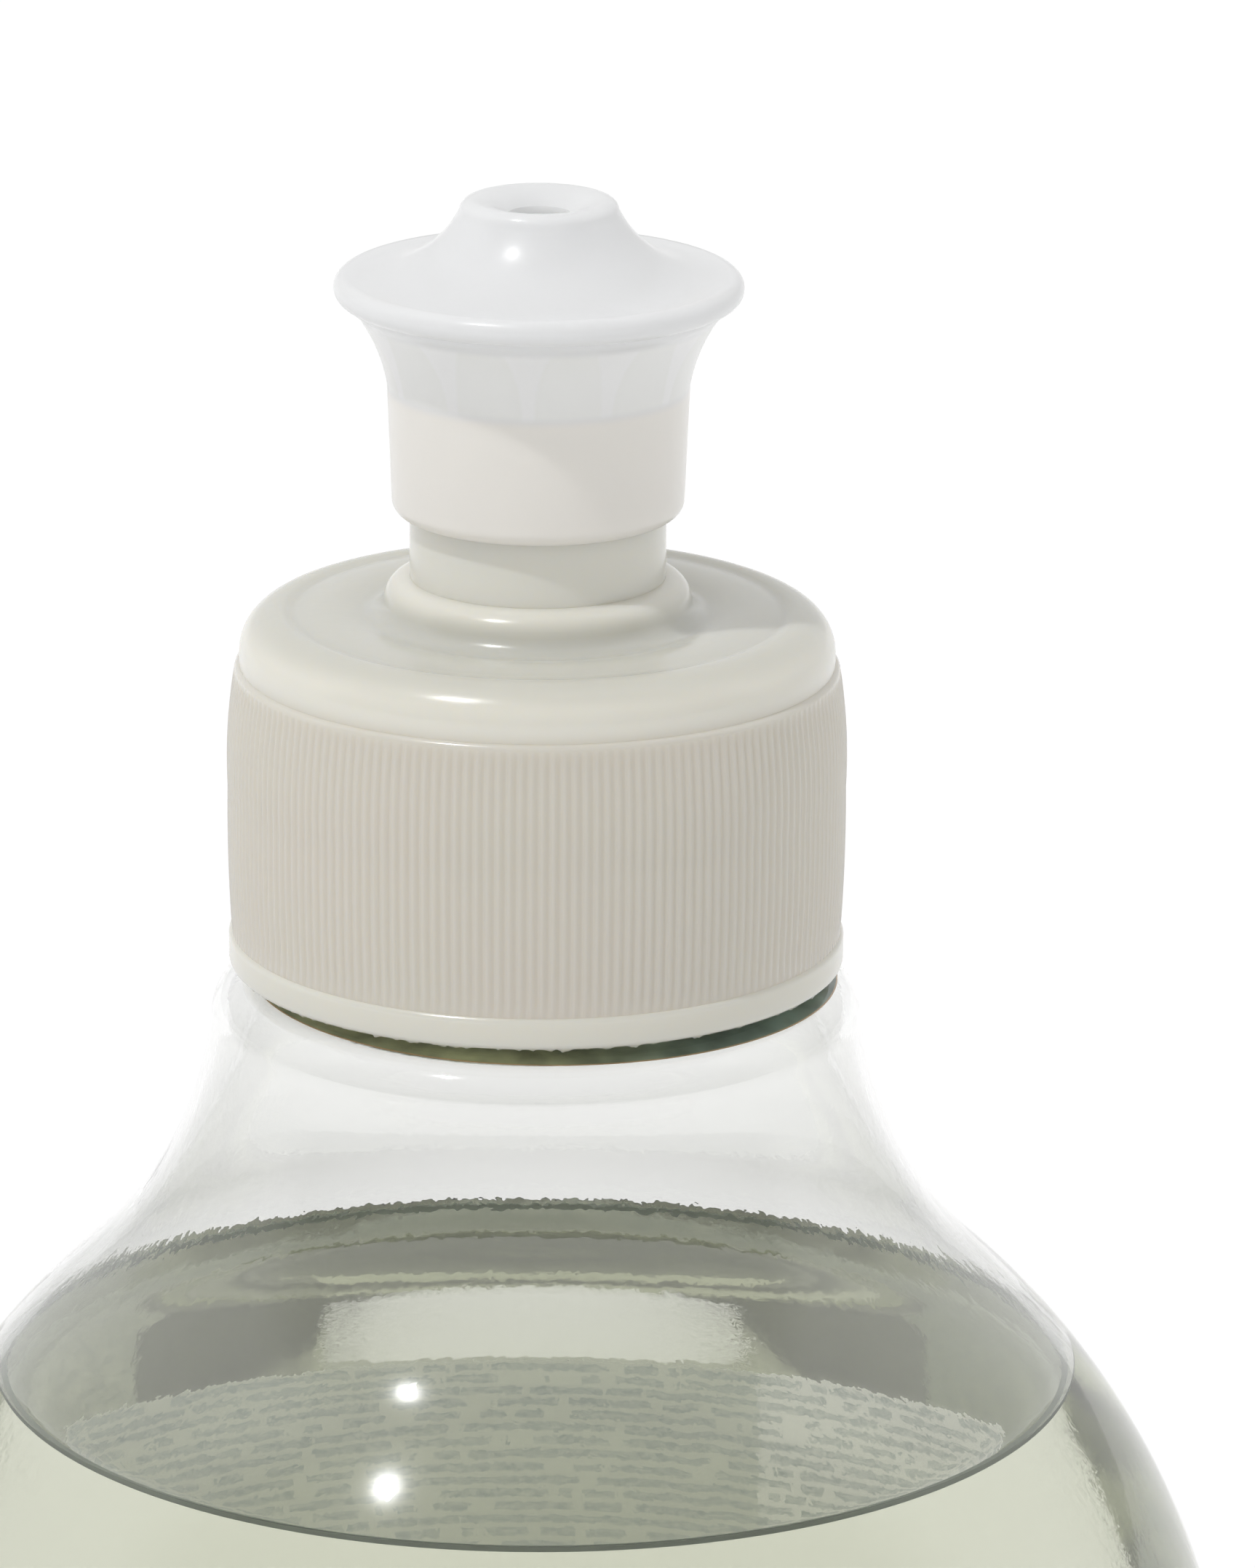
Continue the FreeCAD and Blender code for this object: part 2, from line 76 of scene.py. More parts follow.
class Outline:
    """A line of radii and heights in millimetres, drawn with straights and arcs."""

    def __init__(self, radius: float, height: float) -> None:
        """Start the line.

        Args:
            radius: first radius.
            height: first height.
        """
        self.points: list[Point] = [(radius, height)]

    def line(self, radius: float, height: float, steps: int = 1) -> "Outline":
        """Draw a straight.

        Args:
            radius: radius at its end.
            height: height at its end.
            steps: spans that it is divided into.

        Returns:
            The outline itself, so that calls can follow each other.
        """
        r0, z0 = self.points[-1]
        for step in range(1, steps + 1):
            share = step / steps
            self.points.append((r0 + (radius - r0) * share, z0 + (height - z0) * share))
        return self

    def arc(self, radius: float, height: float, curve: float, side: Side, steps: int) -> "Outline":
        """Draw the shorter arc of a circle.

        Args:
            radius: radius at its end.
            height: height at its end.
            curve: radius of the circle.
            side: side on which the circle's centre lies.
            steps: spans that it is divided into.

        Returns:
            The outline itself.
        """
        start, end = Vector(self.points[-1]), Vector((radius, height))
        chord = end - start
        reach = math.sqrt(max(curve ** 2 - chord.length_squared / 4, 0.0))
        across = Vector((-chord.y, chord.x)).normalized()
        centre = (start + end) / 2 + across * reach * side.value
        first = math.atan2(start.y - centre.y, start.x - centre.x)
        turn = 2 * math.asin(min(chord.length / 2 / curve, 1.0)) * side.value
        for step in range(1, steps + 1):
            angle = first + turn * step / steps
            self.points.append((centre.x + curve * math.cos(angle), centre.y + curve * math.sin(angle)))
        self.points[-1] = (radius, height)
        return self


def turned(points: list[Point], steps: int, closed: bool) -> bmesh.types.BMesh:
    """Turn an outline about the Z axis.

    Args:
        points: radii and heights in millimetres.
        steps: spans round the axis.
        closed: whether the outline's end is joined to its start.

    Returns:
        The closed mesh.
    """
    bm = bmesh.new()
    ring = [bm.verts.new((r * MM, 0.0, z * MM)) for r, z in points]
    edges = [bm.edges.new(pair) for pair in zip(ring, ring[1:])]
    if closed:
        edges.append(bm.edges.new((ring[-1], ring[0])))
    bmesh.ops.spin(bm, geom=ring + edges, cent=(0, 0, 0), axis=(0, 0, 1), dvec=(0, 0, 0),
                   angle=math.tau, steps=steps, use_merge=True, use_duplicate=False)
    bmesh.ops.remove_doubles(bm, verts=bm.verts, dist=1e-7)
    bmesh.ops.recalc_face_normals(bm, faces=bm.faces)
    return bm


def wound_thread(root: float, crest: float, start: float) -> bmesh.types.BMesh:
    """Wind a thread's ridge, with both ends run out to nothing.

    Args:
        root: radius at the ridge's foot, inside its wall.
        crest: radius at its crest.
        start: height of its middle where it starts.

    Returns:
        The closed mesh of the ridge.
    """
    steps = int(THREAD_STEPS * THREAD_TURNS)
    bm = bmesh.new()
    foot, top = THREAD_FOOT_WIDTH / 2, THREAD_CREST_WIDTH / 2
    section = [(root, -foot), (crest, -top), (crest, top), (root, foot)]
    ring = [bm.verts.new((r * MM, 0.0, (start + z) * MM)) for r, z in section]
    face = bm.faces.new(ring)
    bmesh.ops.spin(bm, geom=[face], cent=(0, 0, 0), axis=(0, 0, 1),
                   dvec=(0, 0, THREAD_PITCH * THREAD_TURNS / steps * MM),
                   angle=math.tau * THREAD_TURNS, steps=steps, use_merge=False, use_duplicate=False)
    fade = THREAD_FADE * THREAD_TURNS
    for vert in bm.verts:
        angle = math.atan2(vert.co.y, vert.co.x) % math.tau / math.tau
        rise = (vert.co.z / MM - start) / THREAD_PITCH
        turn = angle + round(rise - angle)
        share = min(max(min(turn, THREAD_TURNS - turn) / fade, 0.0), 1.0)
        radius = math.hypot(vert.co.x, vert.co.y) / MM
        wanted = root + (radius - root) * (0.05 + 0.95 * math.sin(share * math.pi / 2))
        vert.co.x *= wanted / radius
        vert.co.y *= wanted / radius
    bmesh.ops.recalc_face_normals(bm, faces=bm.faces)
    return bm


def joined(*meshes: bmesh.types.BMesh) -> bmesh.types.BMesh:
    """Put several meshes into the first one, and free the others.

    Args:
        *meshes: the meshes, the first of which is kept.

    Returns:
        The first mesh with the others in it.
    """
    first, *others = meshes
    for other in others:
        carrier = bpy.data.meshes.new("carrier")
        other.to_mesh(carrier)
        other.free()
        first.from_mesh(carrier)
        bpy.data.meshes.remove(carrier)
    return first


def add_piece(bm: bmesh.types.BMesh, name: str, finish: bpy.types.Material, body: str,
              replaces: str = "", crease: float = 38.0) -> bpy.types.Object:
    """Make a finished piece of a mesh, hang it on the body that it rides on, and hide the solid that it
    stands for.

    Args:
        bm: the mesh, which is freed.
        name: the piece's name.
        finish: its material.
        body: the body that it rides on.
        replaces: the solid that it stands for, if any.
        crease: degrees over which an edge stays sharp.

    Returns:
        The new object.
    """
    for face in bm.faces:
        face.smooth = True
    for edge in bm.edges:
        if edge.is_manifold and edge.calc_face_angle() > math.radians(crease):
            edge.smooth = False
    mesh = bpy.data.meshes.new(name)
    bm.to_mesh(mesh)
    bm.free()
    mesh.materials.append(finish)
    piece = bpy.data.objects.new(name, mesh)
    bpy.context.scene.collection.objects.link(piece)
    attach(piece, body)
    if replaces:
        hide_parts(replaces)
    LOG.info("%s: %d faces", name, len(mesh.polygons))
    return piece


class Nodes:
    """A material's node tree, with short calls to add and link its nodes."""

    def __init__(self, name: str) -> None:
        """Start a material with nothing but its output.

        Args:
            name: the material's name.
        """
        self.material = bpy.data.materials.new(name)
        self.material.use_nodes = True
        self.tree = self.material.node_tree
        self.tree.nodes.clear()
        self.output = self.tree.nodes.new("ShaderNodeOutputMaterial")

    @classmethod
    def of_tree(cls, tree: bpy.types.NodeTree) -> "Nodes":
        """Take over a tree that exists, and empty it.

        Args:
            tree: the node tree.

        Returns:
            The helper for that tree.
        """
        nodes = cls.__new__(cls)
        nodes.tree = tree
        tree.nodes.clear()
        return nodes

    def add(self, kind: str, **values: object) -> bpy.types.Node:
        """Add a node.

        Args:
            kind: the node's type, without the word ShaderNode.
            **values: its properties, set by name.

        Returns:
            The node.
        """
        node = self.tree.nodes.new("ShaderNode" + kind)
        for key, value in values.items():
            setattr(node, key, value)
        return node

    def link(self, start: bpy.types.NodeSocket, end: bpy.types.NodeSocket) -> None:
        """Link two sockets."""
        self.tree.links.new(start, end)

    def maths(self, operation: str, first: object, second: object = 0.0) -> bpy.types.NodeSocket:
        """Add a Math node.

        Args:
            operation: its operation.
            first: a socket or a number.
            second: a socket or a number.

        Returns:
            The node's result.
        """
        node = self.add("Math", operation=operation)
        for socket, value in zip(node.inputs, (first, second)):
            if isinstance(value, bpy.types.NodeSocket):
                self.link(value, socket)
            else:
                socket.default_value = value
        return node.outputs[0]

    def place(self, scale: tuple[float, float, float] = (1.0, 1.0, 1.0)) -> bpy.types.NodeSocket:
        """Give object coordinates, scaled.

        Args:
            scale: scale along each axis.

        Returns:
            The coordinates.
        """
        mapping = self.add("Mapping")
        mapping.inputs["Scale"].default_value = scale
        self.link(self.add("TexCoord").outputs["Object"], mapping.inputs["Vector"])
        return mapping.outputs[0]

    def noise(self, where: bpy.types.NodeSocket, scale: float, detail: float = 2.0) -> bpy.types.NodeSocket:
        """Add a Noise texture.

        Args:
            where: its coordinates.
            scale: its scale.
            detail: its detail.

        Returns:
            The noise, between 0 and 1.
        """
        node = self.add("TexNoise")
        node.inputs["Scale"].default_value = scale
        node.inputs["Detail"].default_value = detail
        self.link(where, node.inputs["Vector"])
        return node.outputs["Fac"]

    def blend(self, share: bpy.types.NodeSocket, low: Colour | bpy.types.NodeSocket,
              high: Colour | bpy.types.NodeSocket) -> bpy.types.NodeSocket:
        """Mix two colours.

        Args:
            share: share of the second colour.
            low: the first colour, as red, green and blue or a socket.
            high: the second colour.

        Returns:
            The mixed colour.
        """
        mix = self.add("Mix", data_type="RGBA")
        for index, colour in ((MIX_FIRST, low), (MIX_SECOND, high)):
            if isinstance(colour, bpy.types.NodeSocket):
                self.link(colour, mix.inputs[index])
            else:
                mix.inputs[index].default_value = (*colour, 1.0)
        self.link(share, mix.inputs[0])
        return mix.outputs[MIX_RESULT]

    def product(self, first: object, second: object) -> bpy.types.NodeSocket:
        """Multiply two sockets or numbers."""
        return self.maths("MULTIPLY", first, second)

    def axes(self, where: bpy.types.NodeSocket) -> tuple[bpy.types.NodeSocket, ...]:
        """Split coordinates.

        Args:
            where: the coordinates.

        Returns:
            Their X, Y and Z.
        """
        parts = self.add("SeparateXYZ")
        self.link(where, parts.inputs[0])
        return tuple(parts.outputs)

    def rays(self) -> tuple[bpy.types.NodeSocket, ...]:
        """Tell rays apart.

        Returns:
            Whether a ray is seen by the camera, gloss or glass, whether by gloss, whether by glass.
        """
        path = self.add("LightPath")
        glossy, through = path.outputs["Is Glossy Ray"], path.outputs["Is Transmission Ray"]
        seen = self.maths("MAXIMUM", path.outputs["Is Camera Ray"], self.maths("MAXIMUM", glossy, through))
        return seen, glossy, through

    def bump(self, height: bpy.types.NodeSocket, strength: float, depth: float) -> bpy.types.NodeSocket:
        """Add a Bump node.

        Args:
            height: the height's socket.
            strength: its strength.
            depth: its depth in metres.

        Returns:
            The bumped normal.
        """
        node = self.add("Bump")
        node.inputs["Strength"].default_value = strength
        node.inputs["Distance"].default_value = depth
        self.link(height, node.inputs["Height"])
        return node.outputs[0]

    def ramp(self, value: bpy.types.NodeSocket, low: float, high: float) -> bpy.types.NodeSocket:
        """Add a smooth ramp.

        Args:
            value: what it depends on.
            low: value at which it is 0.
            high: value at which it is 1.

        Returns:
            The ramp, between 0 and 1.
        """
        node = self.add("MapRange", interpolation_type="SMOOTHSTEP")
        self.link(value, node.inputs["Value"])
        node.inputs["From Min"].default_value = low
        node.inputs["From Max"].default_value = high
        return node.outputs[0]

    def shader(self, **inputs: object) -> bpy.types.Node:
        """Add the Principled shader and link it to the output.

        Args:
            **inputs: its inputs by name, with _ for a space: numbers, colours or sockets.

        Returns:
            The shader node.
        """
        node = self.add("BsdfPrincipled")
        for key, value in inputs.items():
            socket = node.inputs[key.replace("_", " ")]
            if isinstance(value, bpy.types.NodeSocket):
                self.link(value, socket)
            else:
                socket.default_value = value
        self.link(node.outputs[0], self.output.inputs["Surface"])
        return node


@dataclass(frozen=True)
class ClearShell:
    """Clear blown polyester, with the faint waves and drag lines of blow moulding."""

    ior: float = 1.57
    tint: Colour = (0.974, 0.975, 0.968)
    wave_scale: float = 95.0
    drag_scale: float = 420.0
    drag_share: float = 0.10
    dust_scale: float = 2300.0
    dust_share: float = 0.02
    relief: float = 0.25
    relief_depth: float = 0.0004
    gloss: float = 0.2
    gloss_roughness: float = 0.13

    def make(self) -> bpy.types.Material:
        """Make the material."""
        nodes = Nodes("clear_polyester")
        waves = nodes.noise(nodes.place((1.0, 1.0, 0.35)), self.wave_scale, 1.0)
        drag = nodes.noise(nodes.place((1.0, 1.0, 0.04)), self.drag_scale, 2.0)
        dust = nodes.noise(nodes.place(), self.dust_scale, 1.0)
        drag, dust = nodes.product(drag, self.drag_share), nodes.product(dust, self.dust_share)
        height = nodes.maths("ADD", waves, nodes.maths("ADD", drag, dust))
        nodes.shader(Base_Color=(*self.tint, 1.0), Roughness=0.0, IOR=self.ior,
                     Transmission_Weight=1.0, Coat_Weight=self.gloss, Coat_Roughness=self.gloss_roughness,
                     Normal=nodes.bump(height, self.relief, self.relief_depth))
        return nodes.material


@dataclass(frozen=True)
class RingShade:
    """Painted shade under the neck: a dark green-brown ring for the shade beneath the cap, with a painted
    warm line at its edge.
    """

    offset: float
    # Painted shade: the lit left of the ring is lighter than its shaded right, with dark streaks.
    left: Colour = (0.92, 0.95, 0.60)
    right: Colour = (0.42, 0.55, 0.46)
    streak: Colour = (0.02, 0.03, 0.015)
    edge: Colour = (0.75, 0.52, 0.30)
    turn_from: float = -2.0
    turn_to: float = 11.0
    streak_scale: float = 500.0
    edge_start: float = 15.50
    # Painted light: the ring glows a little, standing for light that reaches it.
    painted_sun_glow: float = 0.07
    transmission: float = 0.6
    roughness: float = 0.8
    ior: float = 1.1

    def make(self) -> bpy.types.Material:
        """Make the material."""
        nodes = Nodes("painted_ring_shade")
        across, along, _ = nodes.axes(nodes.place())
        side = nodes.ramp(across, self.turn_from * MM, self.turn_to * MM)
        body = nodes.blend(side, self.left, self.right)
        dark = nodes.blend(nodes.noise(nodes.place(), self.streak_scale, 2.0), self.streak, body)
        flat = nodes.add("CombineXYZ")
        nodes.link(nodes.maths("SUBTRACT", across, self.offset * MM), flat.inputs["X"])
        nodes.link(along, flat.inputs["Y"])
        reach = nodes.add("VectorMath", operation="LENGTH")
        nodes.link(flat.outputs[0], reach.inputs[0])
        # Painted warm fringe at the ring's outer edge.
        rim = nodes.maths("GREATER_THAN", reach.outputs["Value"], self.edge_start * MM)
        colour = nodes.blend(rim, dark, self.edge)
        nodes.shader(Base_Color=colour, Roughness=self.roughness, IOR=self.ior,
                     Transmission_Weight=self.transmission,
                     Emission_Color=colour, Emission_Strength=self.painted_sun_glow)
        return nodes.material


@dataclass(frozen=True)
class SoapLiquid:
    """Clear pale yellow-green soap, coloured by its depth."""

    ior: float = 1.345
    colour: Colour = (0.58, 0.61, 0.375)
    density: float = 12.0
    ripple_scale: float = 140.0
    ripple: float = 0.02
    ripple_depth: float = 0.0002

    def make(self) -> bpy.types.Material:
        """Make the material."""
        nodes = Nodes("pale_soap")
        ripple = nodes.noise(nodes.place(), self.ripple_scale, 1.0)
        nodes.shader(Base_Color=(1.0, 1.0, 1.0, 1.0), Roughness=0.0, IOR=self.ior,
                     Transmission_Weight=1.0, Normal=nodes.bump(ripple, self.ripple, self.ripple_depth))
        depth = nodes.add("VolumeAbsorption")
        depth.inputs["Color"].default_value = (*self.colour, 1.0)
        depth.inputs["Density"].default_value = self.density
        nodes.link(depth.outputs[0], nodes.output.inputs["Volume"])
        return nodes.material


@dataclass(frozen=True)
class SoapEdge:
    """Painted shade: a dark green line that stands for the shade where the soap meets the wall."""

    colour: Colour = (0.34, 0.42, 0.30)
    light: Colour = (0.5, 0.56, 0.42)
    streak_scale: float = 300.0

    def make(self) -> bpy.types.Material:
        """Make the material."""
        nodes = Nodes("soap_edge_shade")
        # Painted shade: dark green with lighter green streaks.
        streak = nodes.noise(nodes.place(), self.streak_scale, 2.0)
        nodes.shader(Base_Color=nodes.blend(streak, self.colour, self.light), Roughness=0.35,
                     IOR=1.2, Transmission_Weight=0.5)
        return nodes.material


@dataclass(frozen=True)
class LabelFilm:
    """Pale film with rows of plain dashes, laid out in millimetres on the piece's own UV map, with painted
    light on it.
    """

    film: Colour = (0.94, 0.95, 0.88)
    # Painted light: the film is painted pale past the edge, and its glow takes the shaded colour before it.
    pale: Colour = (0.985, 0.985, 0.96)
    shaded: Colour = (0.64, 0.66, 0.60)
    ink: Colour = (0.44, 0.50, 0.48)
    edge: float = 13.4
    # Painted light: the soap side of the film glows a little, standing for sunlight.
    painted_sun_glow: float = 0.29
    transmission: float = 0.42
    roughness: float = 0.7
    ior: float = 1.3
    row: float = 2.05
    dash: float = 0.6
    dash_scale: float = 0.55
    row_shift: float = 7.31
    gap: float = 0.40
    stroke_scale: Point = (1.5, 1.6)
    stroke_gain: float = 1.6
    stroke_base: float = -0.25

    def ink_cover(self, nodes: Nodes, along: bpy.types.NodeSocket,
                  up: bpy.types.NodeSocket) -> bpy.types.NodeSocket:
        """Lay out the dashes.

        Args:
            nodes: the material's nodes.
            along: distance across the label in millimetres.
            up: distance up the label in millimetres.

        Returns:
            How much ink covers the film.
        """
        rows = nodes.maths("DIVIDE", up, self.row)
        band = nodes.maths("COMPARE", nodes.maths("FRACT", rows), 0.5)
        band.node.inputs[2].default_value = self.dash / 2
        spot = nodes.add("CombineXYZ")
        nodes.link(nodes.product(along, self.dash_scale), spot.inputs["X"])
        nodes.link(nodes.product(nodes.maths("FLOOR", rows), self.row_shift), spot.inputs["Y"])
        words = nodes.maths("GREATER_THAN", nodes.noise(spot.outputs[0], 1.0, 1.0), self.gap)
        fine = nodes.add("CombineXYZ")
        nodes.link(nodes.product(along, self.stroke_scale[0]), fine.inputs["X"])
        nodes.link(nodes.product(up, self.stroke_scale[1]), fine.inputs["Y"])
        strokes = nodes.product(nodes.noise(fine.outputs[0], 1.0, 1.0), self.stroke_gain)
        return nodes.product(nodes.product(band, words), nodes.maths("ADD", strokes, self.stroke_base))

    def make(self) -> bpy.types.Material:
        """Make the material."""
        nodes = Nodes("printed_film_painted_light")
        along, up, _ = nodes.axes(nodes.add("UVMap", uv_map="label_mm").outputs[0])
        ink = self.ink_cover(nodes, along, up)
        # Painted light: pale film past the edge, painted shade before it, and a glow on the soap side.
        side = nodes.maths("GREATER_THAN", along, self.edge)
        colour = nodes.blend(ink, nodes.blend(side, self.film, self.pale), self.ink)
        light = nodes.blend(ink, nodes.blend(side, self.shaded, self.pale), self.ink)
        within = nodes.add("Attribute", attribute_name="soap_side")
        glow = nodes.blend(within.outputs["Fac"], (0.0, 0.0, 0.0), light)
        nodes.shader(Base_Color=colour, Roughness=self.roughness, IOR=self.ior,
                     Transmission_Weight=self.transmission,
                     Emission_Color=glow, Emission_Strength=self.painted_sun_glow)
        return nodes.material


@dataclass(frozen=True)
class CapPlastic:
    """Natural ivory polypropylene: a little light goes through, and the surface shines."""

    colour: Colour = (0.62, 0.595, 0.515)
    warm: Colour = (0.63, 0.585, 0.515)
    # Painted light: the cap's top is lighter, where light falls on it.
    lit_top: Colour = (0.735, 0.72, 0.65)
    # Painted shade: the flat of the deck is darker.
    deck: Colour = (0.595, 0.59, 0.53)
    # Painted light: the cap is near white from 171 to 175 mm up, at the stopper pin's top.
    pin: Colour = (0.94, 0.935, 0.915)
    bead: Colour = (0.69, 0.675, 0.60)
    bead_below: float = 141.7
    lit_top_from: float = 155.7
    lit_top_to: float = 157.1
    deck_height: float = 159.55
    deck_reach: float = 0.8
    pin_from: float = 171.0
    pin_to: float = 175.0
    cloud_scale: float = 90.0
    grain_scale: float = 900.0
    grain: float = 0.05
    grain_depth: float = 0.0002
    subsurface: float = 0.6
    depths: Colour = (1.0, 0.85, 0.6)
    depth: float = 0.0024
    roughness: float = 0.24
    gloss: float = 0.35
    gloss_roughness: float = 0.06

    def make(self) -> bpy.types.Material:
        """Make the material."""
        nodes = Nodes("ivory_polypropylene")
        height = nodes.axes(nodes.place())[2]
        skirt = nodes.blend(nodes.noise(nodes.place(), self.cloud_scale, 1.0), self.colour, self.warm)
        skirt = nodes.blend(nodes.maths("LESS_THAN", height, self.bead_below * MM), skirt, self.bead)
        # Painted light on the top, painted shade on the deck's flat and painted light at the pin's top.
        top = nodes.blend(nodes.ramp(height, self.lit_top_from * MM, self.lit_top_to * MM), skirt, self.lit_top)
        apart = nodes.maths("ABSOLUTE", nodes.maths("SUBTRACT", height, self.deck_height * MM))
        flat = nodes.ramp(apart, 2.0 * self.deck_reach * MM, 0.5 * self.deck_reach * MM)
        top = nodes.blend(flat, top, self.deck)
        colour = nodes.blend(nodes.ramp(height, self.pin_from * MM, self.pin_to * MM), top, self.pin)
        grain = nodes.noise(nodes.place(), self.grain_scale, 3.0)
        nodes.shader(Base_Color=colour, Roughness=self.roughness, IOR=1.49,
                     Subsurface_Weight=self.subsurface, Subsurface_Radius=self.depths,
                     Subsurface_Scale=self.depth, Coat_Weight=self.gloss,
                     Coat_Roughness=self.gloss_roughness,
                     Normal=nodes.bump(grain, self.grain, self.grain_depth))
        return nodes.material


@dataclass(frozen=True)
class NozzlePlastic:
    """Waxy translucent polyethylene, on which the fins and the chimney behind are painted as pale shapes.
    """

    colour: Colour = (0.87, 0.875, 0.88)
    # Painted: the wall is lighter where a fin stands behind it, with painted shade between the fins.
    fin: Colour = (0.985, 0.985, 0.985)
    behind: Colour = (0.935, 0.94, 0.915)
    warm: Colour = (0.95, 0.91, 0.85)
    warm_share: float = 0.9
    fins_low: float = 171.6
    fins_high: float = 175.3
    edge: float = 0.25
    fin_width: float = 0.07
    fin_splay: float = 0.012
    # Painted light: a faint glow standing for sunlight through the wall.
    painted_sun_glow: float = 0.02
    transmission: float = 0.20
    roughness: float = 0.3
    ior: float = 1.35
    subsurface: float = 0.6
    depth: float = 0.0012
    gloss: float = 0.4
    gloss_roughness: float = 0.12
    grain_scale: float = 700.0
    grain: float = 0.08
    grain_depth: float = 0.0002

    def between_fins(self, nodes: Nodes, across: bpy.types.NodeSocket, along: bpy.types.NodeSocket,
                     height: bpy.types.NodeSocket) -> bpy.types.NodeSocket:
        """Say where the wall has no fin behind it, for the painted shade between the fins.

        Args:
            nodes: the material's nodes.
            across: the X coordinate.
            along: the Y coordinate.
            height: the height in millimetres.

        Returns:
            0 at a fin and 1 between two, in a soft step.
        """
        angle = nodes.maths("ARCTAN2", across, nodes.product(along, -1.0))
        angle = nodes.maths("SUBTRACT", angle, math.radians(FIN_TURN))
        phase = nodes.maths("ADD", nodes.maths("DIVIDE", angle, math.tau / FIN_COUNT), FIN_COUNT + 0.5)
        away = nodes.maths("ABSOLUTE", nodes.maths("SUBTRACT", nodes.maths("FRACT", phase), 0.5))
        above = nodes.maths("POWER", nodes.maths("SUBTRACT", height, self.fins_low), 2.0)
        width = nodes.maths("ADD", nodes.product(above, self.fin_splay), self.fin_width)
        return nodes.ramp(nodes.maths("SUBTRACT", away, width), -0.03, 0.04)

    def make(self) -> bpy.types.Material:
        """Make the material."""
        nodes = Nodes("waxy_polyethylene")
        across, along, rise = nodes.axes(nodes.place())
        height = nodes.maths("DIVIDE", rise, MM)
        # Painted fins with painted shade between them, and a painted warm band low on the barrel.
        between = nodes.blend(self.between_fins(nodes, across, along, height), self.fin, self.behind)
        below = nodes.ramp(height, self.fins_high + self.edge, self.fins_high - self.edge)
        above = nodes.ramp(height, self.fins_low - self.edge, self.fins_low + self.edge)
        fins = nodes.blend(nodes.product(below, above), self.colour, between)
        low = nodes.product(nodes.ramp(height, self.fins_low + 0.1, self.fins_low - 0.6), self.warm_share)
        colour = nodes.blend(low, fins, self.warm)
        grain = nodes.noise(nodes.place(), self.grain_scale, 3.0)
        nodes.shader(Base_Color=colour, Roughness=self.roughness, IOR=self.ior,
                     Transmission_Weight=self.transmission, Subsurface_Weight=self.subsurface,
                     Subsurface_Radius=(1.0, 1.0, 1.0), Subsurface_Scale=self.depth,
                     Emission_Color=colour, Emission_Strength=self.painted_sun_glow,
                     Coat_Weight=self.gloss, Coat_Roughness=self.gloss_roughness,
                     Normal=nodes.bump(grain, self.grain, self.grain_depth))
        return nodes.material


@dataclass(frozen=True)
class SealFoam:
    """Fine white closed-cell foam."""

    low: Colour = (0.86, 0.86, 0.83)
    high: Colour = (0.93, 0.93, 0.91)
    cell_scale: float = 2600.0

    def make(self) -> bpy.types.Material:
        """Make the material."""
        nodes = Nodes("white_foam")
        cells = nodes.noise(nodes.place(), self.cell_scale, 2.0)
        nodes.shader(Base_Color=nodes.blend(cells, self.low, self.high), Roughness=0.7,
                     Normal=nodes.bump(cells, 0.4, 0.0001))
        return nodes.material


